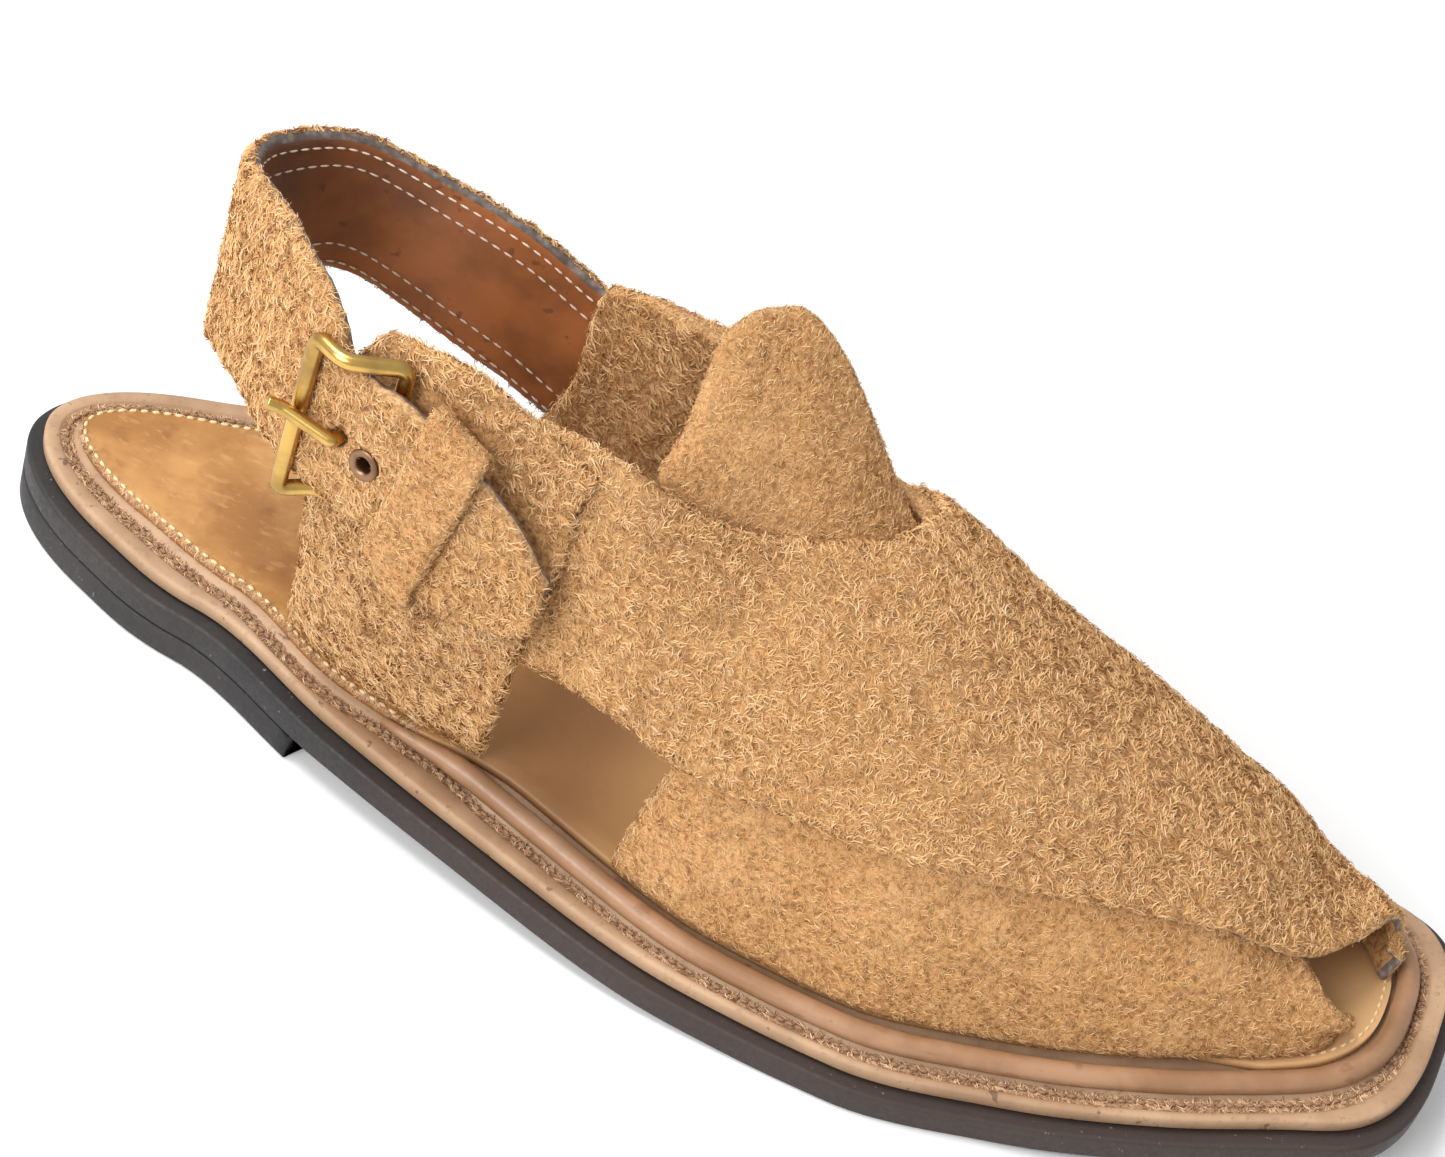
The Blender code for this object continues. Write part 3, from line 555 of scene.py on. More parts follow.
def walled(outer, inner, around=False, bulge=0.22):
    """Points, faces and marks of a sheet between two grids of points, with rounded cut edges."""
    points = []
    across = len(outer[0])
    for face_row, back_row in zip(outer, inner):
        front = (face_row[-1] + back_row[-1]) / 2 + (face_row[-1] - face_row[-2]).normalized() * (
            (face_row[-1] - back_row[-1]).length * bulge)
        back = (face_row[0] + back_row[0]) / 2 + (face_row[0] - face_row[1]).normalized() * (
            (face_row[0] - back_row[0]).length * bulge)
        points += back_row + [front] + face_row[::-1] + [back]
    ring = 2 * across + 2
    ring_marks = ([LINING] * (across - 1) + [CUT_EDGE, FRAYED_EDGE] + [FACE] * (across - 1)
                  + [FRAYED_EDGE, CUT_EDGE])
    rows = len(outer)
    faces = []
    marks = []
    for i in range(rows if around else rows - 1):
        k = (i + 1) % rows
        for j in range(ring):
            n = (j + 1) % ring
            faces.append((i * ring + j, i * ring + n, k * ring + n, k * ring + j))
            marks.append(ring_marks[j])
    if not around:
        for base in (0, (rows - 1) * ring):
            for j in range(across - 1):
                faces.append((base + j, base + j + 1, base + 2 * across - 1 - j, base + 2 * across - j))
                marks.append(CUT_EDGE)
            faces.append((base + across - 1, base + across, base + across + 1))
            faces.append((base, base + 2 * across, base + ring - 1))
            marks += [CUT_EDGE] * 2
    return points, faces, marks


def slab(stations, steps, heights, across=6):
    """Points and faces of a layer of the sole.

    The steps go round its edge from the bottom to the top. Each is an inset, or a function of the share of
    the length that gives it, a level, which is one of the heights, and an offset from that level.
    """
    rings = []
    for along in stations:
        sides = []
        for side in (-1, 1):
            line = []
            for inset, level, offset in steps:
                inset = inset(along) if callable(inset) else inset
                x = along_to_x(along, inset)
                line.append(Vector((x, edge_across(along, side, inset), heights[level](x) + offset)))
            sides.append(line)
        outer, inner = sides
        top = [outer[-1].lerp(inner[-1], i / across) for i in range(1, across)]
        bottom = [inner[0].lerp(outer[0], i / across) for i in range(1, across)]
        rings.append(outer + top + inner[::-1] + bottom)
    count = len(rings[0])
    faces = []
    for i in range(len(rings) - 1):
        for j in range(count):
            n = (j + 1) % count
            faces.append((i * count + j, i * count + n, (i + 1) * count + n, (i + 1) * count + j))
    rise = len(steps)
    for base in (0, (len(rings) - 1) * count):
        outer = [base + k for k in range(rise)]
        inner = [base + 2 * rise + across - 2 - k for k in range(rise)]
        top = [base + rise + k for k in range(across - 1)]
        bottom = [base + 2 * rise + across - 1 + k for k in range(across - 1)]
        for k in range(1, rise - 2):
            faces.append((outer[k], outer[k + 1], inner[k + 1], inner[k]))
        faces.append(tuple([outer[-2], outer[-1]] + top + [inner[-1], inner[-2]]))
        faces.append(tuple([outer[1], inner[1], inner[0]] + bottom + [outer[0]]))
    return [point for ring in rings for point in ring], faces


# Stations stop just short of the two ends, where the outline has no width, and crowd towards them
END_TRIM = 2e-7
BODY_CROWD = 2.6
END_CROWD = 2.8


def crowded(end, reach, count):
    """Shares of the length that come in to end over a reach, ever closer together."""
    return [end + reach * (1 - i / count) ** END_CROWD for i in range(count + 1)]


def end_spaced(count):
    """Shares of the length, much closer together at both ends, where the outline turns across."""
    shares = []
    for i in range(count):
        half = abs(1 - 2 * i / (count - 1))
        distance = END_TRIM + (0.5 - END_TRIM) * (1 - half) ** BODY_CROWD
        shares.append(distance if 2 * i < count else 1 - distance)
    return shares


def tube(rings, closed):
    """Points and faces round a list of rings, with its ends filled where it is open."""
    count = len(rings[0])
    faces = []
    for i in range(len(rings) if closed else len(rings) - 1):
        k = (i + 1) % len(rings)
        for j in range(count):
            n = (j + 1) % count
            faces.append((i * count + j, i * count + n, k * count + n, k * count + j))
    if not closed:
        faces.append(tuple(range(count))[::-1])
        faces.append(tuple(range((len(rings) - 1) * count, len(rings) * count)))
    return [point for ring in rings for point in ring], faces


# Finishes

class Value:
    """A number or colour in a finish. Sums written with it add their nodes."""

    def __init__(self, finish, output):
        self.finish = finish
        self.output = output

    def sum_of(self, operation, first, second):
        return self.finish.node("Math", {"operation": operation}, {0: first, 1: second})

    def __add__(self, other):
        return self.sum_of("ADD", self, other)

    __radd__ = __add__

    def __mul__(self, other):
        return self.sum_of("MULTIPLY", self, other)

    __rmul__ = __mul__

    def __sub__(self, other):
        return self.sum_of("SUBTRACT", self, other)

    def __rsub__(self, other):
        return self.sum_of("SUBTRACT", other, self)

    def between(self, low, high):
        """0 below low and 1 above high, with a smooth step between them."""
        return self.finish.node("MapRange", {"interpolation_type": "SMOOTHSTEP"},
                                {"Value": self, "From Min": low, "From Max": high})


def socket_named(sockets, name):
    if isinstance(name, int):
        return sockets[name]
    return next(socket for socket in sockets if socket.name == name and socket.enabled)


def fill_sockets(tree, made, sockets):
    for name, value in sockets.items():
        socket = socket_named(made.inputs, name)
        if isinstance(value, Value):
            tree.links.new(value.output, socket)
        elif isinstance(value, bpy.types.NodeSocket):
            tree.links.new(value, socket)
        elif isinstance(value, tuple) and len(value) == 3 and socket.type == "RGBA":
            socket.default_value = (*value, 1.0)
        else:
            socket.default_value = value


class Finish:
    """A material that is built up from nodes."""

    def __init__(self, name):
        self.material = bpy.data.materials.new(name)
        self.material.use_nodes = True
        self.tree = self.material.node_tree
        self.tree.nodes.clear()
        self.place = self.node("TexCoord", output="Object")

    def node(self, kind, settings=None, sockets=None, output=0):
        made = self.tree.nodes.new("ShaderNode" + kind)
        for name, value in (settings or {}).items():
            setattr(made, name, value)
        fill_sockets(self.tree, made, sockets or {})
        return Value(self, socket_named(made.outputs, output))

    def noise(self, scale, detail=3.0, roughness=0.55, stretch=None):
        where = self.place
        if stretch:
            where = self.node("Mapping", {}, {"Vector": where, "Scale": stretch})
        return self.node("TexNoise", {}, {"Vector": where, "Scale": scale, "Detail": detail, "Roughness": roughness})

    def mix(self, share, first, second):
        return self.node("Mix", {"data_type": "RGBA"}, {"Factor": share, "A": first, "B": second}, "Result")

    def axis(self, name):
        return self.node("SeparateXYZ", {}, {0: self.place}, name)

    def mark(self, name):
        return self.node("Attribute", {"attribute_name": name}, {}, "Fac")

    def bump(self, height, distance, strength):
        return self.node("Bump", {}, {"Height": height, "Distance": distance, "Strength": strength})

    def shade(self, colour, roughness, **others):
        sockets = {"Base Color": colour, "Roughness": roughness}
        sockets.update({name.replace("_", " "): value for name, value in others.items()})
        shader = self.node("BsdfPrincipled", {}, sockets)
        out = self.tree.nodes.new("ShaderNodeOutputMaterial")
        self.tree.links.new(shader.output, out.inputs["Surface"])
        return self.material


def linear(red, green, blue):
    """A colour as it is seen, from 0 to 255, in the numbers that light adds up in."""
    shares = [part / 255 for part in (red, green, blue)]
    return tuple(part / 12.92 if part <= 0.04045 else ((part + 0.055) / 1.055) ** 2.4 for part in shares)


# SUEDE_LIGHT is painted light on the fibre tips and also the sheen's tint; SUEDE_DARK is painted shade at the roots of
# the nap and also a dark tone of the bare cut edge.
SUEDE_LIGHT = linear(255, 232, 192)
SUEDE_MIDDLE = linear(246, 202, 146)
SUEDE_DARK = linear(122, 82, 44)


def suede_ground():
    f = Finish("suede ground")
    broad = f.noise(60.0, 2.0)
    fine = f.noise(820.0, 4.0, 0.6)
    # The ground is darker than the fibres: painted shade under the nap, mottled by the fine noise.
    colour = f.mix(fine.between(0.3, 0.62), linear(132, 90, 50), linear(200, 150, 98))
    colour = f.mix(broad.between(0.45, 0.8) * 0.4, colour, SUEDE_MIDDLE)
    return f.shade(colour, 0.95, Normal=f.bump(fine, 0.0006, 0.9), Sheen_Weight=0.1, Sheen_Roughness=0.6,
                   Sheen_Tint=(*SUEDE_LIGHT, 1.0), Specular_IOR_Level=0.1)


def suede_nap():
    """Fibres darkened towards the root as painted shade in the nap, the palest of them lightened at the tip as painted
    light, no two alike.
    """
    f = Finish("suede nap")
    strand = f.mark("strand")
    tip = f.mark("tip")
    broad = f.noise(48.0, 3.0)
    clump = f.noise(420.0, 2.0)
    colour = f.mix(strand.between(0.0, 0.7), linear(200, 151, 97), SUEDE_MIDDLE)
    # Painted light on the tips of the palest fibres, then painted shade that darkens every fibre towards its root.
    colour = f.mix(strand.between(0.65, 1.0) * tip, colour, SUEDE_LIGHT)
    colour = f.mix((1 - tip) * 0.62, colour, SUEDE_DARK)
    colour = f.mix(clump.between(0.4, 0.7) * 0.4, colour, linear(214, 166, 112))
    colour = f.mix(broad.between(0.4, 0.75) * 0.35, colour, linear(212, 164, 108))
    return f.shade(colour, 0.85, Specular_IOR_Level=0.15)


def painted_edge():
    f = Finish("painted edge")
    fine = f.noise(500.0, 3.0)
    colour = f.mix(fine.between(0.4, 0.7), linear(86, 74, 68), linear(126, 112, 102))
    return f.shade(colour, 0.55, Normal=f.bump(fine, 0.0002, 0.6))


def toe_edge():
    """A cut edge that is bare at the throat and painted grey towards the toe."""
    f = Finish("toe edge")
    fine = f.noise(700.0, 4.0)
    bare = f.mix(fine.between(0.35, 0.65), SUEDE_DARK, SUEDE_MIDDLE)
    grey = f.mix(fine.between(0.4, 0.7), linear(98, 84, 78), linear(138, 122, 112))
    return f.shade(f.mix(f.axis("X").between(0.03, 0.055), bare, grey), 0.7, Normal=f.bump(fine, 0.0003, 0.7))


def raw_edge():
    f = Finish("raw cut edge")
    fine = f.noise(1100.0, 4.0, 0.65)
    colour = f.mix(fine.between(0.35, 0.65), linear(150, 108, 66), linear(205, 165, 118))
    return f.shade(colour, 0.95, Normal=f.bump(fine, 0.0004, 0.9))


def brown_lining():
    f = Finish("brown lining")
    fine = f.noise(700.0, 4.0)
    colour = f.mix(fine.between(0.3, 0.7), linear(96, 62, 42), linear(124, 84, 56))
    return f.shade(colour, 0.6, Normal=f.bump(fine, 0.0002, 0.5))


def chestnut_lining():
    f = Finish("chestnut strap lining")
    cloud = f.noise(38.0, 4.0, 0.6)
    grain = f.noise(1300.0, 3.0)
    speck = f.noise(260.0, 2.0)
    colour = f.mix(cloud.between(0.35, 0.65), linear(122, 72, 40), linear(166, 100, 54))
    colour = f.mix(f.axis("X").between(-0.085, -0.125) * 0.75, colour, linear(78, 52, 42))
    colour = f.mix(speck.between(0.66, 0.72) * 0.5, colour, linear(70, 42, 30))
    return f.shade(colour, f.noise(90.0).between(0.3, 0.8) * 0.2 + 0.34, Normal=f.bump(grain, 0.00008, 0.5))


def golden_insole():
    f = Finish("golden insole leather")
    cloud = f.noise(45.0, 5.0, 0.6)
    grain = f.noise(420.0, 4.0, 0.6, stretch=(0.6, 1.6, 1.0))
    blotch = f.noise(160.0, 3.0)
    colour = f.mix(cloud.between(0.35, 0.68), linear(160, 108, 54), linear(196, 144, 84))
    colour = f.mix(blotch.between(0.55, 0.75) * 0.45, colour, linear(118, 70, 32))
    colour = f.mix(grain.between(0.55, 0.7) * 0.3, colour, linear(210, 162, 104))
    pale = f.axis("X").between(-0.06, -0.02)
    colour = f.mix(pale * 0.8, colour, linear(186, 142, 92))
    # Painted shadow of the straps: the insole is darker in the outer window, fading out towards the heel and towards
    # the middle.
    shade = f.axis("X").between(-0.002, -0.022) * (1 - f.axis("X").between(-0.03, -0.05))
    colour = f.mix(shade * 0.75, colour, linear(124, 82, 46))
    # Painted light on the insole at the toe: paler ahead of x = 0.085, where the toe opening leaves it in shade.
    colour = f.mix(f.axis("X").between(0.085, 0.1), colour, linear(206, 160, 110))
    rough = grain.between(0.3, 0.7) * 0.2 + 0.27 + pale * 0.3
    return f.shade(colour, rough, Normal=f.bump(grain, 0.00012, 0.45), Coat_Weight=0.15, Coat_Roughness=0.25)


def rand_leather():
    f = Finish("rand leather")
    cloud = f.noise(70.0, 4.0)
    grain = f.noise(900.0, 3.0)
    crease_shade = f.noise(170.0, 3.0, stretch=(1.0, 1.0, 4.0))
    colour = f.mix(cloud.between(0.35, 0.7), linear(142, 104, 72), linear(168, 128, 96))
    # Thin dark lines along the rand: painted shade in its creases.
    colour = f.mix(crease_shade.between(0.62, 0.7) * 0.4, colour, linear(112, 76, 50))
    return f.shade(colour, grain.between(0.3, 0.7) * 0.12 + 0.36, Normal=f.bump(grain, 0.00006, 0.4), Coat_Weight=0.1,
                   Coat_Roughness=0.3)


def welt_leather():
    f = Finish("welt leather")
    cloud = f.noise(50.0, 4.0)
    fine = f.noise(700.0, 4.0, 0.65)
    fleck = f.noise(330.0, 2.0)
    colour = f.mix(cloud.between(0.35, 0.68), linear(160, 126, 96), linear(186, 152, 120))
    colour = f.mix(fine.between(0.55, 0.7) * 0.4, colour, linear(128, 96, 70))
    colour = f.mix(fleck.between(0.68, 0.73) * 0.7, colour, linear(90, 62, 46))
    return f.shade(colour, 0.62, Normal=f.bump(fine, 0.00012, 0.6))


def sole_rubber():
    f = Finish("sole rubber")
    cloud = f.noise(34.0, 4.0)
    fine = f.noise(800.0, 5.0, 0.7)
    dust = f.noise(520.0, 3.0, 0.8)
    where = f.noise(26.0, 2.0)
    waist = f.axis("X").between(-0.075, -0.02)
    colour = f.mix(cloud.between(0.35, 0.7), linear(30, 28, 29), linear(48, 43, 41))
    colour = f.mix(waist * 0.75, colour, linear(58, 44, 38))
    colour = f.mix(dust.between(0.66, 0.72) * where.between(0.45, 0.6) * 0.75, colour, linear(150, 134, 120))
    return f.shade(colour, fine.between(0.3, 0.7) * 0.2 + 0.5, Normal=f.bump(fine, 0.00015, 0.6))


def thread(name, colour):
    f = Finish(name)
    twist = f.node("TexWave", {"bands_direction": "DIAGONAL"}, {"Vector": f.place, "Scale": 900.0, "Distortion": 1.0})
    # The twist's darker bands are painted shade in the grooves between its plies.
    return f.shade(f.mix(twist, tuple(part * 0.72 for part in colour), colour), 0.6,
                   Normal=f.bump(twist, 0.0001, 0.5))


def worn_metal(name, bright, dull, roughness):
    f = Finish(name)
    cloud = f.noise(120.0, 4.0)
    scratch = f.noise(600.0, 3.0, stretch=(1.0, 1.0, 6.0))
    colour = f.mix(cloud.between(0.4, 0.75), bright, dull)
    return f.shade(colour, cloud.between(0.3, 0.8) * 0.18 + roughness, Metallic=1.0,
                   Normal=f.bump(scratch, 0.00003, 0.4))


def fuzz():
    f = Finish("welt fuzz")
    strand = f.mark("strand")
    return f.shade(f.mix(strand, linear(150, 104, 66), linear(226, 190, 150)), 0.8)


SUEDE = suede_ground()
NAP = suede_nap()
PAINTED = painted_edge()
RAW = raw_edge()
TOE_EDGE = toe_edge()
BROWN = brown_lining()
CHESTNUT = chestnut_lining()
INSOLE = golden_insole()
RAND = rand_leather()
WELT = welt_leather()
RUBBER = sole_rubber()
WHITE_THREAD = thread("white thread", linear(232, 214, 196))
GOLD_THREAD = thread("gold thread", linear(240, 214, 160))
WELT_THREAD = thread("welt thread", linear(158, 118, 88))
BRASS = worn_metal("worn brass", (0.64, 0.41, 0.12), (0.36, 0.22, 0.07), 0.22)
BRONZE = worn_metal("dark bronze", (0.30, 0.17, 0.10), (0.14, 0.08, 0.05), 0.4)
FUZZ = fuzz()


# Trees of geometry nodes: the nap on suede, and rows of stitches

class Tree:
    """A tree of geometry nodes with named inputs."""

    def __init__(self, name, inputs):
        self.tree = bpy.data.node_groups.new(name, "GeometryNodeTree")
        face = self.tree.interface
        face.new_socket("Geometry", in_out="INPUT", socket_type="NodeSocketGeometry")
        for label, kind in inputs:
            face.new_socket(label, in_out="INPUT", socket_type="NodeSocket" + kind)
        face.new_socket("Geometry", in_out="OUTPUT", socket_type="NodeSocketGeometry")
        self.given = self.tree.nodes.new("NodeGroupInput").outputs

    def node(self, kind, settings=None, sockets=None, output=0):
        made = self.tree.nodes.new(kind)
        for name, value in (settings or {}).items():
            setattr(made, name, value)
        fill_sockets(self.tree, made, sockets or {})
        return socket_named(made.outputs, output) if made.outputs else None

    def math(self, operation, first, second):
        return self.node("ShaderNodeMath", {"operation": operation}, {0: first, 1: second})

    def random(self, low, high, seed):
        return self.node("FunctionNodeRandomValue", {"data_type": "FLOAT"}, {2: low, 3: high, "Seed": seed}, 1)

    def finish(self, geometry):
        self.node("NodeGroupOutput", {}, {"Geometry": geometry})
        return self.tree


def run_tree(name, carrier, tree, inputs):
    """The mesh that a tree makes on a carrier, as a plain piece. The carrier is used up."""
    run = carrier.modifiers.new("made", "NODES")
    run.node_group = tree
    labels = {item.name: item.identifier for item in tree.interface.items_tree if item.in_out == "INPUT"}
    for label, value in inputs.items():
        run[labels[label]] = value
    mesh = shown_mesh(carrier)
    mesh.name = name
    bpy.data.objects.remove(carrier)
    return put(name, mesh)


def strand_mesh(number, steps, rise, curl, sway):
    """One fibre of unit length: a tapered ribbon that leaves the leather, bends sideways and lies over."""
    points = []
    for i in range(steps + 1):
        t = i / steps
        x = t - 0.3
        y = sway * math.sin(curl * t)
        z = rise * math.sin(min(1.0, t * 1.25) * math.pi * 0.62) - 0.04
        half = 0.062 * (1 - 0.65 * t)
        if i == steps:
            points.append((x, y, z))
        else:
            points += [(x, y - half, z + half * 0.8), (x, y + half, z - half * 0.4)]
    faces = [(2 * i, 2 * i + 2, 2 * i + 3, 2 * i + 1) for i in range(steps - 1)]
    faces.append((2 * steps - 2, 2 * steps, 2 * steps - 1))
    mesh = bpy.data.meshes.new("strand")
    mesh.from_pydata(points, [], faces)
    mesh.polygons.foreach_set("use_smooth", [True] * len(faces))
    mesh.attributes.new("tip", "FLOAT", "POINT").data.foreach_set(
        "value", [(i // 2) / steps for i in range(2 * steps + 1)])
    return bpy.data.objects.new("strand %d" % number, mesh)


# The kinds of fibre: segments, rise, curl and sway
STRANDS = bpy.data.collections.new("strands")
for number, shape in enumerate((
        (2, 0.12, 3.0, 0.16), (3, 0.20, 4.5, 0.15), (2, 0.24, 2.2, -0.24), (3, 0.30, 5.5, 0.13),
        (2, 0.16, 3.6, -0.14), (2, 0.38, 3.4, 0.18), (3, 0.20, 4.2, 0.26), (2, 0.18, 2.4, 0.22))):
    STRANDS.objects.link(strand_mesh(number, *shape))


def nap_tree():
    """Fibres at random over the faces, as dense as the attribute nap says, turned and sized in tufts."""
    t = Tree("nap", [("Density", "Float"), ("Length", "Float"), ("Clump", "Float"), ("Seed", "Int"),
                     ("Finish", "Material")])
    wanted = t.math("MULTIPLY", t.given["Density"],
                    t.node("GeometryNodeInputNamedAttribute", {"data_type": "FLOAT"}, {"Name": "nap"}))
    spread = t.tree.nodes.new("GeometryNodeDistributePointsOnFaces")
    fill_sockets(t.tree, spread, {"Mesh": t.given["Geometry"], "Density": wanted, "Seed": t.given["Seed"]})
    place = t.node("GeometryNodeInputPosition")
    swirl = t.node("ShaderNodeTexNoise", {}, {"Vector": place, "Scale": t.given["Clump"], "Detail": 1.0})
    turn = t.math("ADD", t.math("MULTIPLY", swirl, 22.0), t.random(-0.9, 0.9, t.given["Seed"]))
    spin = t.node("FunctionNodeAxisAngleToRotation", {}, {"Angle": turn})
    turned = t.node("FunctionNodeRotateRotation", {"rotation_space": "LOCAL"},
                    {0: spread.outputs["Rotation"], 1: spin})
    tuft = t.node("ShaderNodeTexNoise", {}, {"Vector": place, "Scale": t.math("MULTIPLY", t.given["Clump"], 2.3),
                                             "Detail": 1.0})
    fullness = t.math("ADD", t.math("MULTIPLY", tuft, 0.9), 0.55)
    size = t.math("MULTIPLY", t.math("MULTIPLY", t.given["Length"], t.random(0.65, 1.25, 11)), fullness)
    strands = t.node("GeometryNodeCollectionInfo", {},
                     {"Collection": STRANDS, "Separate Children": True, "Reset Children": True})
    planted = t.node("GeometryNodeInstanceOnPoints", {},
                     {"Points": spread.outputs["Points"], "Instance": strands, "Pick Instance": True,
                      "Rotation": turned, "Scale": size})
    planted = t.node("GeometryNodeStoreNamedAttribute", {"data_type": "FLOAT", "domain": "INSTANCE"},
                     {"Geometry": planted, "Name": "strand", "Value": t.random(0.0, 1.0, 5)})
    real = t.node("GeometryNodeRealizeInstances", {}, {"Geometry": planted})
    return t.finish(t.node("GeometryNodeSetMaterial", {}, {"Geometry": real, "Material": t.given["Finish"]}))


NAP_TREE = nap_tree()


def copy_of(piece, keep):
    """A copy of a piece's mesh to carry a tree, with only the faces that keep says yes to."""
    mesh = piece.data.copy()
    shell = bmesh.new()
    shell.from_mesh(mesh)
    gone = [face for face in shell.faces if not keep(face)]
    bmesh.ops.delete(shell, geom=gone, context="FACES")
    shell.to_mesh(mesh)
    shell.free()
    return put("carrier", mesh)


def shell_of(piece):
    return BVHTree.FromPolygons([vertex.co for vertex in piece.data.vertices],
                                [face.vertices for face in piece.data.polygons])


# A face is covered where another piece lies within the reach off it, measured from just above it
COVER_START = 0.0001
COVER_REACH = 0.006


def nap_on(piece, name, density, length, seed, keep=None, covers=(), edge_share=1.6, finish=NAP, slot="suede",
           clump=340.0, inside=False, bare_cut=False):
    """Fibres on a piece's open faces, with another share of them on its frayed edges.

    The density is in fibres a square metre, and clump is the scale of the noise that turns them in tufts.
    Faces that one of the covers hides have none, nor has the lining unless inside is given.
    """
    shells = [shell_of(cover) for cover in covers]

    def wanted(face):
        if face.material_index == CUT_EDGE and bare_cut:
            return False
        if (face.material_index == LINING and not inside) or not (keep is None or keep(face)):
            return False
        start = face.calc_center_median() + face.normal * COVER_START
        return all(shell.ray_cast(start, face.normal, COVER_REACH)[0] is None for shell in shells)

    carrier = copy_of(piece, wanted)
    mesh = carrier.data
    shares = [edge_share if face.material_index == FRAYED_EDGE else 1.0 for face in mesh.polygons]
    mesh.attributes.new("nap", "FLOAT", "FACE").data.foreach_set("value", shares)
    nap = run_tree(name, carrier, NAP_TREE,
                   {"Density": density, "Length": length, "Clump": clump, "Seed": seed, "Finish": finish})
    settle(nap, slot)


def stitch_tree():
    """Long beads at an even pitch along lines, with the attribute up as the way off the leather."""
    t = Tree("stitches", [("Pitch", "Float"), ("Length", "Float"), ("Radius", "Float"), ("Finish", "Material")])
    line = t.node("GeometryNodeMeshToCurve", {}, {"Mesh": t.given["Geometry"]})
    line = t.node("GeometryNodeResampleCurve", {"mode": "LENGTH"}, {"Curve": line, "Length": t.given["Pitch"]})
    tangent = t.node("GeometryNodeInputTangent")
    up = t.node("GeometryNodeInputNamedAttribute", {"data_type": "FLOAT_VECTOR"}, {"Name": "up"})
    turned = t.node("FunctionNodeAlignRotationToVector", {"axis": "X"}, {"Vector": tangent})
    turned = t.node("FunctionNodeAlignRotationToVector", {"axis": "Z", "pivot_axis": "X"},
                    {"Rotation": turned, "Vector": up})
    bead = t.node("GeometryNodeMeshUVSphere", {}, {"Segments": 6, "Rings": 4, "Radius": 1.0})
    half = t.math("MULTIPLY", t.given["Length"], 0.5)
    size = t.node("ShaderNodeCombineXYZ", {}, {0: half, 1: t.given["Radius"], 2: t.given["Radius"]})
    sewn = t.node("GeometryNodeInstanceOnPoints", {},
                  {"Points": line, "Instance": bead, "Rotation": turned, "Scale": size})
    real = t.node("GeometryNodeRealizeInstances", {}, {"Geometry": sewn})
    smooth = t.node("GeometryNodeSetShadeSmooth", {}, {"Geometry": real})
    return t.finish(t.node("GeometryNodeSetMaterial", {}, {"Geometry": smooth, "Material": t.given["Finish"]}))


STITCH_TREE = stitch_tree()


def stitch_rows(name, rows, pitch, length, radius, finish, slot):
    """Stitches along rows of (place, direction off the leather)."""
    points = []
    edges = []
    ups = []
    for row in rows:
        start = len(points)
        points += [place + SHIFT for place, up in row]
        ups += [part for place, up in row for part in up]
        edges += [(i, i + 1) for i in range(start, len(points) - 1)]
    mesh = bpy.data.meshes.new(name)
    mesh.from_pydata(points, edges, [])
    mesh.attributes.new("up", "FLOAT_VECTOR", "POINT").data.foreach_set("vector", ups)
    made = run_tree(name, put("carrier", mesh), STITCH_TREE,
                    {"Pitch": pitch, "Length": length, "Radius": radius, "Finish": finish})
    settle(made, slot)


# Suede pieces

def ruffle(piece, amount, seed):
    """Lifts and sinks the suede by small clumps. The lining stays smooth."""
    suede = set()
    for face in piece.data.polygons:
        if face.material_index != LINING:
            suede.update(face.vertices)
    start = Vector((seed, seed * 2, 0.0))
    moved = []
    for number in suede:
        vertex = piece.data.vertices[number]
        place = vertex.co.copy()
        lift = noise.noise(place * 210 + start) * 0.5 + noise.noise(place * 520 + start) * 0.5
        moved.append((number, place + vertex.normal * (amount * lift)))
    for number, place in moved:
        piece.data.vertices[number].co = place
    piece.data.update()


def step_between(value, low, high):
    """0 below low and 1 above high, with a smooth step between them."""
    t = min(1.0, max(0.0, (value - low) / (high - low)))
    return t * t * (3 - 2 * t)


def on_last(rows, count, width):
    """Outer and inner grids of a wall of suede on the last, from its table of edges."""
    places = []
    for row in filled_rows(rows, count):
        line = []
        for i in range(width + 1):
            t = i / width
            along = blend(row.back_along, row.front_along, t)
            around = blend(row.back_around, row.front_around, t)
            layer = blend(row.back_layer, row.front_layer, t) * (SUEDE_WALL - SEWN_LAP)
            place = last_point(along, around)
            floor = insole_top(place.x)
            place.z = floor + (place.z - floor) * (1 - TOE_SINK * step_between(place.x, TOE_SINK_FROM, TOE_SINK_TO))
            line.append((place, min(around, 1.0 - around), layer))
        places.append(line)
    outer = []
    inner = []
    for i, line in enumerate(places):
        face_line = []
        back_line = []
        for j, (foot, reach, layer) in enumerate(line):
            around_step = places[min(i + 1, len(places) - 1)][j][0] - places[max(i - 1, 0)][j][0]
            along_step = line[min(j + 1, width)][0] - line[max(j - 1, 0)][0]
            off = along_step.cross(around_step).normalized()
            if off.dot(Vector((0.0, foot.y, foot.z))) < 0:
                off.negate()
            off.z *= min(1.0, reach / FOOT_SHARE)
            off.normalize()
            back_line.append(foot + off * layer)
            face_line.append(foot + off * (layer + SUEDE_WALL))
        outer.append(face_line)
        inner.append(back_line)
    return outer, inner


def suede_piece(name, rows, count, width, finishes, seed, height=0.0008):
    """A part of the upper on the last, with a rough surface of the given height."""
    outer, inner = on_last(rows, count, width)
    points, faces, marks = walled(outer, inner)
    piece = subdivide(add_piece(name, points, faces, finishes, marks))
    ruffle(piece, height, seed)
    return settle(piece, "suede", "upper")


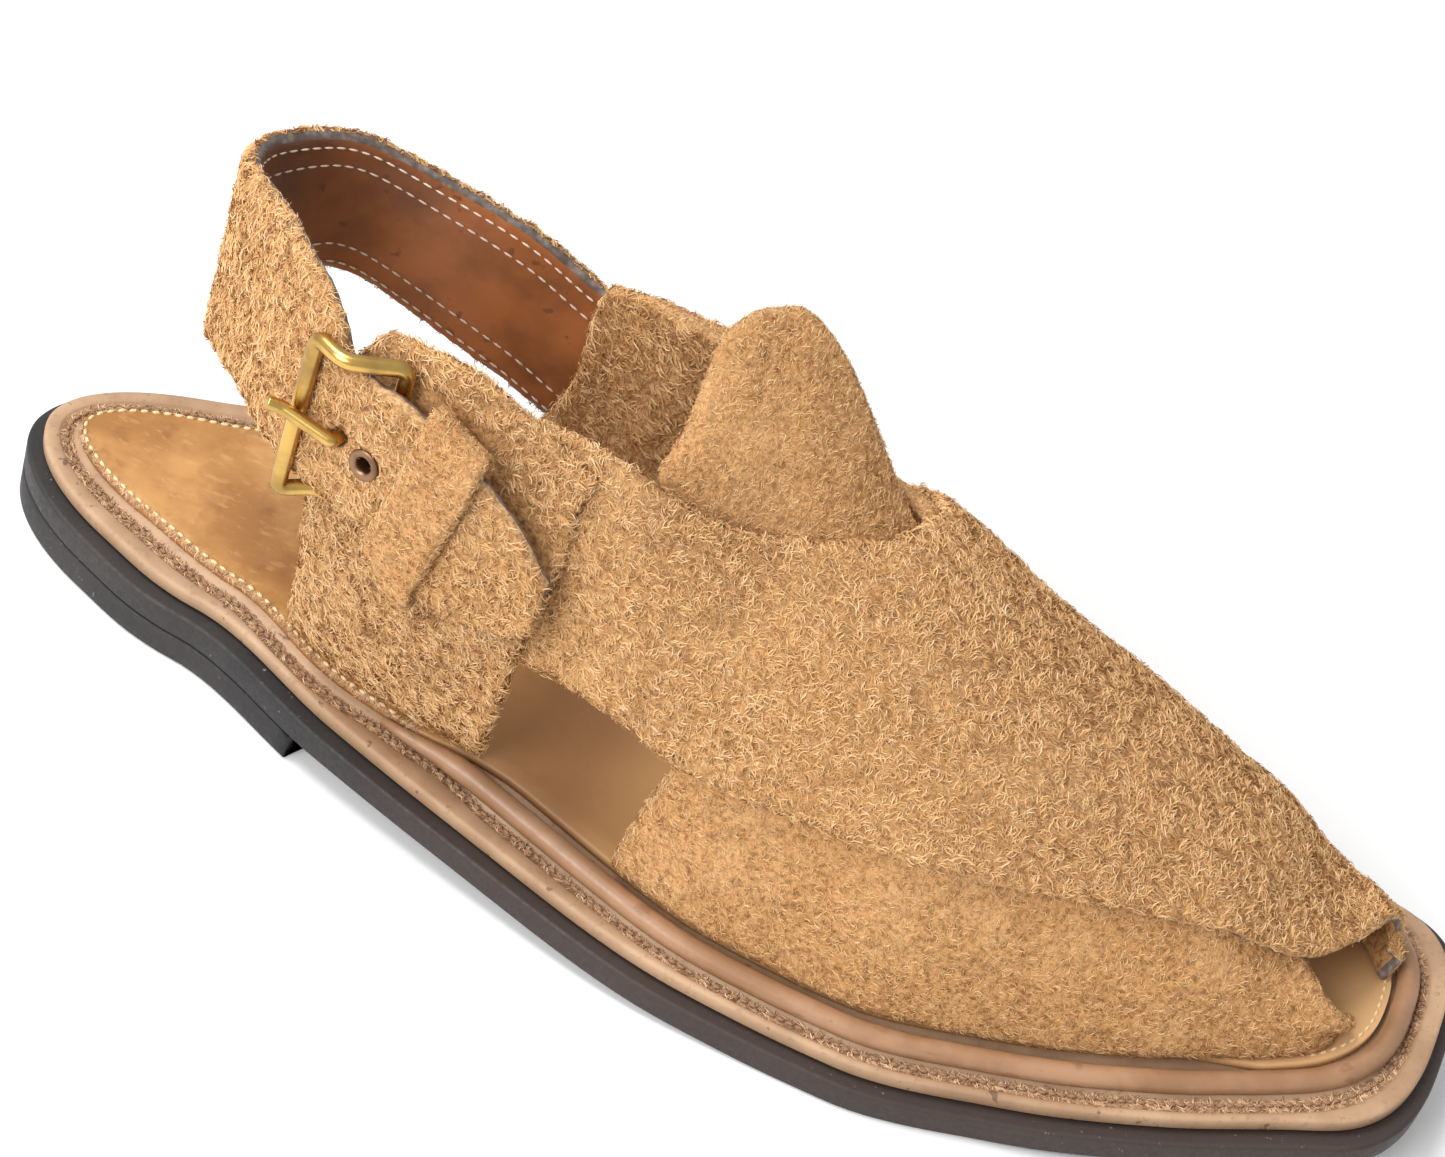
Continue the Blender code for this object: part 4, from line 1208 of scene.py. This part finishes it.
under_strap = suede_piece("vamp_under_strap", UNDER_STRAP, 46, 26, [SUEDE, SUEDE, RAW, RAW], 3, 0.0004)
over_strap = suede_piece("vamp_over_strap", OVER_STRAP, 62, 36, [SUEDE, SUEDE, TOE_EDGE, RAW], 7)
outer_quarter = suede_piece("outer_quarter", OUTER_QUARTER, 34, 28, [SUEDE, BROWN, RAW, RAW], 11)
inner_quarter = suede_piece("inner_quarter", INNER_QUARTER, 34, 24, [SUEDE, SUEDE, RAW, RAW], 13)


def make_tongue():
    """A shield of suede from under the vamp, each rib of it a curve from its base past the throat to its tip."""
    ribs = 34
    rises = 22
    outer = []
    for rib in filled_rows(TONGUE, ribs):
        base = raised_point(rib.base_along + 0.008, rib.base_around - 0.008, -3 * FIT_GAP)
        neck = raised_point(rib.base_along - 0.016, rib.base_around + 0.006, rib.neck_lift * SUEDE_WALL - 3 * FIT_GAP)
        tip = Vector((
            (rib.tip_along - 0.5) * SOLE_LENGTH, rib.tip_across * BALL_WIDTH, rib.tip_height * INSTEP_HEIGHT
        ))
        line = []
        for j in range(rises + 1):
            t = j / rises
            line.append(base * (1 - t) ** 2 + neck * 2 * t * (1 - t) + tip * t * t)
        outer.append(line)
    inner = []
    for i, line in enumerate(outer):
        behind = []
        for j, point in enumerate(line):
            forward = outer[min(i + 1, ribs)][j] - outer[max(i - 1, 0)][j]
            up = line[min(j + 1, rises)] - line[max(j - 1, 0)]
            behind.append(point - forward.cross(up).normalized() * TONGUE_WALL)
        inner.append(behind)
    points, faces, marks = walled(outer, inner)
    piece = subdivide(add_piece("suede_tongue", points, faces, [SUEDE, BROWN, RAW, RAW], marks))
    ruffle(piece, 0.00025, 17)
    return settle(piece, "suede", "tongue")


tongue = make_tongue()


def make_heel_strap():
    """The strap from the inner quarter round the heel to its tip, with holes for the prong and the eyelet."""
    outer = []
    inner = []
    stations = 110
    rows = 9
    shares = [i / rows for i in range(rows + 1)]
    for i in range(stations + 1):
        turn = i / stations
        inner.append([strap_point(turn, share, 0.0) for share in shares])
        outer.append([strap_point(turn, share, STRAP_WALL) for share in shares])
    points, faces, marks = walled(outer, inner)
    strap = subdivide(add_piece("suede_heel_strap", points, faces, [SUEDE, CHESTNUT, PAINTED, RAW], marks))
    ruffle(strap, 0.0007, 19)
    for at, share, radius in ((PRONG_AT, 0.5, PRONG_THICKNESS * 0.8), (EYELET_AT, EYELET_SHARE, EYELET_RADIUS)):
        out = across_strap(at, share)
        ends = [strap_point(at, share, -STRAP_WALL), strap_point(at, share, 2 * STRAP_WALL)]
        rings = [turned_ring(end, out, radius + FIT_GAP, 24) for end in ends]
        cutter = add_piece("hole cutter", *tube(rings, False), [RAW])
        cut = strap.modifiers.new("hole", "BOOLEAN")
        cut.operation = "DIFFERENCE"
        cut.solver = "EXACT"
        cut.object = cutter
        plain_mesh(strap)
        bpy.data.objects.remove(cutter)
    return settle(strap, "suede", "heel_strap")


heel_strap = make_heel_strap()


def make_keeper():
    """A band of suede round the strap, slanted towards the toe at its upper end."""
    columns = 7
    outer = []
    inner = []
    shares = (0.04, 0.15, 0.3, 0.45, 0.6, 0.75, 0.9, 0.97)
    angles = (60, 30, 0, -30, -60)
    stations = [(share, 1) for share in shares] + [(1.0, angle) for angle in angles]
    stations += [(share, -1) for share in shares[::-1]] + [(0.0, angle) for angle in angles[::-1]]
    for share, side in stations:
        face_line = []
        back_line = []
        for i in range(columns):
            edge = i / (columns - 1) - 0.5
            turn = turn_after(blend(KEEPER_LOW, KEEPER_HIGH, share), edge * KEEPER_WIDTH)
            out = (strap_point(turn, share, STRAP_WALL) - strap_point(turn, share, 0.0)).normalized()
            up = (strap_point(turn, 1.0, 0.0) - strap_point(turn, 0.0, 0.0)).normalized()
            middle = strap_point(turn, share, STRAP_WALL / 2)
            near = STRAP_WALL / 2 + FIT_GAP
            far = near + KEEPER_WALL
            if share in (0.0, 1.0):
                angle = math.radians(side)
                end = 1.0 if share else -1.0
                direction = out * math.sin(angle) + up * end * math.cos(angle)
            else:
                direction = out * side
            back_line.append(middle + direction * near)
            face_line.append(middle + direction * far)
        outer.append(face_line)
        inner.append(back_line)
    points, faces, marks = walled(outer, inner, around=True)
    keeper = subdivide(add_piece("suede_keeper", points, faces, [SUEDE, BROWN, RAW, RAW], marks))
    ruffle(keeper, 0.0003, 23)
    return settle(keeper, "suede", "keeper")


keeper = make_keeper()


# Metal

def rounded_path(corners, bend):
    """A closed path through corners, each of them rounded from a bend before it to a bend after it."""
    steps = 6
    path = []
    for i, corner in enumerate(corners):
        start = corner + (corners[i - 1] - corner).normalized() * bend
        end = corner + (corners[(i + 1) % len(corners)] - corner).normalized() * bend
        for step in range(steps + 1):
            t = step / steps
            path.append(start * (1 - t) ** 2 + corner * 2 * t * (1 - t) + end * t * t)
    return path


def make_frame():
    """The brass frame, its lower side bar tucked behind the strap. Gives the places of the prong on its two bars."""
    high, low = buckle_corners()
    end = low[0].lerp(high[0], 0.56)
    hinge = low[2].lerp(high[2], 0.5)
    out = across_strap(BUCKLE_AT, 0.5)
    under = low[2] - out * BUCKLE_BAR * 0.3
    low[1] = low[0].lerp(under, 0.3).lerp(high[1], 0.04) - out * BUCKLE_BAR * 0.9
    path = rounded_path(high + low[::-1], BUCKLE_BEND)
    brass = add_piece("brass_frame", *tube_along(path, BUCKLE_BAR / 2, 16, True), [BRASS])
    settle(brass, "brass", "buckle_frame")
    return end, hinge


def make_prong(end, hinge):
    """The prong, from the hinge bar behind the strap through its hole and over the end bar."""
    radius = PRONG_THICKNESS / 2
    clear = BUCKLE_BAR / 2 + FIT_GAP + radius
    out = across_strap(PRONG_AT, 0.5)
    hole = strap_point(PRONG_AT, 0.5, STRAP_WALL / 2)
    behind = hole - out * (STRAP_WALL * 1.2)
    root = hinge + (behind - hinge).normalized() * (clear - radius + 2 * FIT_GAP)
    over = end + across_strap(BUCKLE_AT, 0.5) * clear
    tip = over + (end - hole).normalized() * PRONG_REACH + out * 4 * FIT_GAP
    points = [root, behind, hole + out * (STRAP_WALL * 1.1), over + out * FIT_GAP, tip]
    places = [0.0, 0.3, 0.5, 0.85, 1.0]
    count = 60
    path = []
    for i in range(count + 1):
        path.append(Vector([smooth_between(places, [point[k] for point in points], i / count) for k in range(3)]))
    prong = add_piece("brass_prong", *tube_along(path, radius, 14, False), [BRASS])
    settle(prong, "brass", "buckle_prong")


def make_eyelet():
    """A ring with a rounded brim on the strap's face and a barrel in its hole."""
    foot = STRAP_WALL * 0.3
    base = STRAP_WALL + 1.5 * FIT_GAP
    brim = ((0.0, 0.0), (1.0, 0.0), (0.8, 0.4), (0.3, 0.6), (-0.7, 0.45), (-1.0, 0.0))
    profile = [(EYELET_RADIUS - EYELET_WALL, foot), (EYELET_RADIUS, foot)]
    profile += [(EYELET_RADIUS + EYELET_WALL * wide, base + EYELET_WALL * high) for wide, high in brim]
    out = across_strap(EYELET_AT, EYELET_SHARE)
    rings = [turned_ring(strap_point(EYELET_AT, EYELET_SHARE, off), out, radius, 36) for radius, off in profile]
    settle(add_piece("bronze_eyelet", *tube(rings, True), [BRONZE]), "bronze", "eyelet")


make_prong(*make_frame())
make_eyelet()


# The sole

def arc_steps(inset, level, offset, radius, start, end, count=4):
    """Steps round a rounded edge, from an inset and offset of its middle."""
    steps = []
    for i in range(count + 1):
        angle = math.radians(blend(start, end, i / count))
        steps.append((inset - radius * math.cos(angle), level, offset + radius * math.sin(angle)))
    return steps


def seam(along):
    """The inner side of the stitched groove: at the rand's foot, or at the insole's edge behind the rand."""
    full = min(1.0, max(0.0, (along - RAND_START) / RAND_TAPER))
    return max(feather(along) - 0.0004 - (RAND_DIAMETER - 0.0010) * full, SEAM_WIDTH + 0.0012)


def off_seam(shift):
    """An inset that keeps a distance from the seam."""
    return lambda along: seam(along) + shift


def make_sole():
    """The stacked heel, the outsole and the midsole with its stitched groove, all with rounded edges."""
    edge = -OUTSOLE_LEDGE
    r = SOLE_EDGE_ROUND
    foot = [(0.012, 0, 0.0), (0.004, 0, 0.0)] + arc_steps(edge + r, 0, r, r, -90, 0)
    top = [(edge, 1, -FIT_GAP - r * 0.4), (edge + r * 0.4, 1, -FIT_GAP), (0.004, 1, -FIT_GAP)]
    stations = [along for along in end_spaced(150) if along < HEEL_BREAST] + [HEEL_BREAST]
    lift = add_piece("stacked_heel", *slab(stations, foot + top, (lambda x: 0.0, underside)), [RUBBER])
    settle(lift, "sole rubber", "heel_lift")
    top = arc_steps(edge + r, 1, -r, r, 0, 90) + [(0.004, 1, 0.0)]
    outsole = add_piece("sole_unit", *slab(end_spaced(200), foot + top, (underside, outsole_top)), [RUBBER])
    settle(outsole, "sole rubber", "outsole")
    bevel = 0.0006
    foot = [(seam, 0, FIT_GAP), (bevel, 0, FIT_GAP), (0.0, 0, FIT_GAP + bevel)]
    groove = ((-SEAM_WIDTH - SEAM_LIP, 0.0), (-SEAM_WIDTH, -SEAM_LIP), (-SEAM_WIDTH + SEAM_LIP, -SEAM_DEPTH),
              (-SEAM_LIP, -SEAM_DEPTH), (0.0, -SEAM_LIP), (SEAM_LIP, 0.0))
    top = arc_steps(r, 1, -r, r, 0, 90) + [(off_seam(shift), 1, offset) for shift, offset in groove]
    welt = add_piece("welt_layer", *slab(end_spaced(220), foot + top, (outsole_top, midsole_top)), [WELT])
    return settle(welt, "welt leather", "midsole")


midsole = make_sole()


def make_insole():
    """The insole with bevelled edges, drawn in under the upper's foot between the waist and the toe."""
    rings = []
    for along in end_spaced(160):
        sewn_in = min(1.0, max(0.0, (along - 0.33) / 0.06)) * min(1.0, max(0.0, (0.93 - along) / 0.04))
        inset = feather(along) + 2.3 * FIT_GAP + SEWN_INSET * sewn_in
        x = along_to_x(along, inset)
        outer = edge_across(along, -1, inset)
        inner = edge_across(along, 1, inset)
        bevel = min(SOLE_EDGE_ROUND, (inner - outer) * 0.2)
        low = midsole_top(x) + FIT_GAP
        high = insole_top(x)
        ring = [(outer, low), (outer, high - bevel), (outer + bevel * 0.3, high - bevel * 0.3), (outer + bevel, high)]
        ring += [(blend(outer, inner, i / 12), high) for i in range(1, 12)]
        ring += [(inner - bevel, high), (inner - bevel * 0.3, high - bevel * 0.3), (inner, high - bevel), (inner, low)]
        ring += [(blend(inner, outer, i / 4), low) for i in (1, 2, 3)]
        rings.append([Vector((x, y, z)) for y, z in ring])
    insole = add_piece("footbed", *tube(rings, False), [INSOLE])
    return settle(insole, "insole leather", "insole")


footbed = make_insole()


def make_rand():
    """The rolled bead at the foot of the upper, thin where it starts at the waist, once round the toe."""
    path = []
    for side in (-1, 1):
        stations = crowded(1 - END_TRIM, RAND_START - 1 + END_TRIM, 130)
        line = []
        for along in stations:
            full = min(1.0, 0.35 + (along - RAND_START) / RAND_TAPER)
            inset = feather(along) - RAND_DIAMETER * full / 2
            line.append((Vector((along_to_x(along, inset), edge_across(along, side, inset),
                                 midsole_top(along_to_x(along, inset)))), full))
        path += line if side < 0 else line[::-1]
    rings = []
    for i, (place, full) in enumerate(path):
        ahead = path[min(i + 1, len(path) - 1)][0] - path[max(i - 1, 0)][0]
        out = Vector((ahead.y, -ahead.x, 0.0)).normalized()
        radius = RAND_DIAMETER * full / 2
        ring = []
        for j in range(RAND_SIDES + 1):
            angle = math.radians(-30 + 240 * j / RAND_SIDES)
            rise = radius * math.sin(angle) + radius * 0.5 + 2 * FIT_GAP
            ring.append(place + out * radius * math.cos(angle) + Vector((0, 0, rise)))
        rings.append(ring)
    settle(add_piece("rand_cord", *tube(rings, False), [RAND]), "rand leather", "rand")


make_rand()


# Stitches

def edge_line(inset_of, height_of, stations):
    """A line of (place, direction up) along the sole's edge, on the outer side and back on the inner side."""
    line = []
    for side, turned in ((-1, stations), (1, stations[::-1])):
        for along in turned:
            inset = inset_of(along)
            x = along_to_x(along, inset)
            line.append((Vector((x, edge_across(along, side, inset), height_of(x))), Vector((0.0, 0.0, 1.0))))
    return line


def make_stitches():
    """The stitches of the welt's groove, of the insole at the heel and the toe, and of the strap's lining."""
    groove = edge_line(lambda along: seam(along) - SEAM_WIDTH / 2, lambda x: midsole_top(x) - SEAM_DEPTH * 0.5,
                       end_spaced(240))
    stitch_rows("welt_stitches", [groove], pitch=0.0019, length=0.0019, radius=0.00044, finish=WELT_THREAD,
                slot="welt leather")
    heel = edge_line(lambda along: feather(along) + 0.0014, insole_top, crowded(END_TRIM, 0.3, 80))
    toe = edge_line(lambda along: feather(along) + 0.0020, insole_top, crowded(1 - END_TRIM, -0.035, 40))
    stitch_rows("insole_stitches", [heel, toe], pitch=0.0023, length=0.0019, radius=0.00042, finish=GOLD_THREAD,
                slot="insole leather")
    count = 160
    rows = []
    for share in (0.06, 0.2, 0.8, 0.93):
        row = []
        for i in range(count + 1):
            turn = 0.02 + 0.66 * i / count
            out = strap_point(turn, share, -STRAP_WALL) - strap_point(turn, share, 0.0)
            row.append((strap_point(turn, share, -0.0001), out.normalized()))
        rows.append(row)
    stitch_rows("strap_stitches", rows, pitch=0.0027, length=0.0023, radius=0.00023, finish=WHITE_THREAD,
                slot="suede")


make_stitches()


# Nap and fuzz

# The over strap's nap is two pieces, behind and ahead of this place. The strap's tip is ahead of the other.
FRONT = 0.036
TIP_START = -0.075


def on_groove(face):
    """On the floor of the welt's groove."""
    middle = face.calc_center_median() - SHIFT
    along = middle.x / SOLE_LENGTH + 0.5
    return face.normal.z > 0.95 and middle.z < midsole_top(middle.x) - SEAM_DEPTH * 0.4 and 0.0 < along < 1.0


def on_footbed_edge(face):
    """Along the heel's edge of the insole, where its leather is frayed by the stitches."""
    return (face.calc_center_median() - SHIFT).x < -0.05 and 0.05 < face.normal.z < 0.95


def off_tip(face):
    """On the heel strap, but not on the painted edge of its tip, on the near side."""
    middle = face.calc_center_median()
    return face.material_index == FACE or not (middle.y < 0.0 and middle.x > TIP_START)


def on_rear_lining(face):
    """On the under strap's lining behind the over strap, where the photo looks in from above."""
    middle = face.calc_center_median()
    return face.material_index == LINING and middle.x < 0.0 and middle.z > 0.035


def behind_front(face):
    return face.calc_center_median().x < FRONT


def ahead_of_front(face):
    return not behind_front(face)


nap_on(midsole, "welt_fuzz", density=0.9e7, length=0.0016, seed=31, keep=on_groove, edge_share=1.0, finish=FUZZ,
       slot="welt leather")
nap_on(footbed, "footbed_fuzz", density=0.9e7, length=0.0014, seed=32, keep=on_footbed_edge, edge_share=1.0,
       finish=FUZZ, slot="insole leather")
nap_on(over_strap, "vamp_nap_rear", density=4.35e6, length=0.0019, seed=1, keep=behind_front)
nap_on(over_strap, "vamp_nap_front", density=4.35e6, length=0.0020, seed=2, keep=ahead_of_front, edge_share=0.1,
       bare_cut=True)
nap_on(under_strap, "under_strap_nap", density=3.9e6, length=0.0013, seed=3, covers=(over_strap,), clump=480.0)
nap_on(outer_quarter, "outer_quarter_nap", density=4.8e6, length=0.0021, seed=4,
       covers=(over_strap, heel_strap, keeper))
nap_on(inner_quarter, "inner_quarter_nap", density=3.0e6, length=0.0020, seed=5, covers=(over_strap, heel_strap),
       inside=True)
nap_on(under_strap, "under_strap_lining_nap", density=2.6e6, length=0.0024, seed=9, keep=on_rear_lining,
       inside=True)
nap_on(heel_strap, "heel_strap_nap", density=3.8e6, length=0.0020, seed=6, keep=off_tip,
       covers=(keeper, outer_quarter, inner_quarter), edge_share=2.0, bare_cut=True)
nap_on(keeper, "keeper_nap", density=5.0e6, length=0.0012, seed=7, covers=(heel_strap,), clump=480.0)
nap_on(tongue, "tongue_nap", density=5.4e6, length=0.0012, seed=8, covers=(over_strap, under_strap), clump=480.0)
for strand in list(STRANDS.objects):
    bpy.data.objects.remove(strand)
bpy.data.collections.remove(STRANDS)


# Floor, light and camera

def make_floor():
    """A plain pale floor, 12 m across."""
    f = Finish("pale floor")
    pale = f.shade(f.mix(f.noise(3.0, 2.0), (0.86, 0.86, 0.86), (0.89, 0.89, 0.89)), 0.75)
    mesh = bpy.data.meshes.new("floor")
    half = 6
    mesh.from_pydata([(-half, -half, 0), (half, -half, 0), (half, half, 0), (-half, half, 0)], [], [(0, 1, 2, 3)])
    mesh.materials.append(pale)
    put("floor", mesh)


def add_light(name, place, size, power):
    """A round light that shines on the middle of the shoe."""
    light = bpy.data.lights.new(name, "AREA")
    light.shape = "DISK"
    light.size = size
    light.energy = power
    lamp = put(name, light)
    lamp.location = place
    lamp.rotation_mode = "QUATERNION"
    lamp.rotation_quaternion = (Vector((0, 0, 0.04)) - Vector(place)).to_track_quat("-Z", "Y")


def make_studio():
    make_floor()
    world = bpy.data.worlds.new("studio")
    world.use_nodes = True
    world.node_tree.nodes["Background"].inputs["Color"].default_value = (1.0, 1.0, 1.0, 1.0)
    world.node_tree.nodes["Background"].inputs["Strength"].default_value = 0.68
    bpy.context.scene.world = world
    add_light("key light", (-0.5, -0.1, 1.1), size=0.5, power=8.0)
    add_light("front light", (-0.5, -1.0, 0.85), size=0.8, power=14.0)
    bpy.context.scene.view_settings.view_transform = "Standard"
    eye = bpy.data.cameras.new("camera")
    eye.lens = 90.0
    eye.sensor_width = 36.0
    camera = put("camera", eye)
    camera.matrix_world = Matrix((
        (0.89709, -0.42857, 0.10749, 0.06314 + SHIFT.x),
        (0.36272, 0.57541, -0.73303, -0.50055 + SHIFT.y),
        (0.25230, 0.69659, 0.67165, 0.51455),
        (0, 0, 0, 1),
    ))
    bpy.context.scene.camera = camera


make_studio()
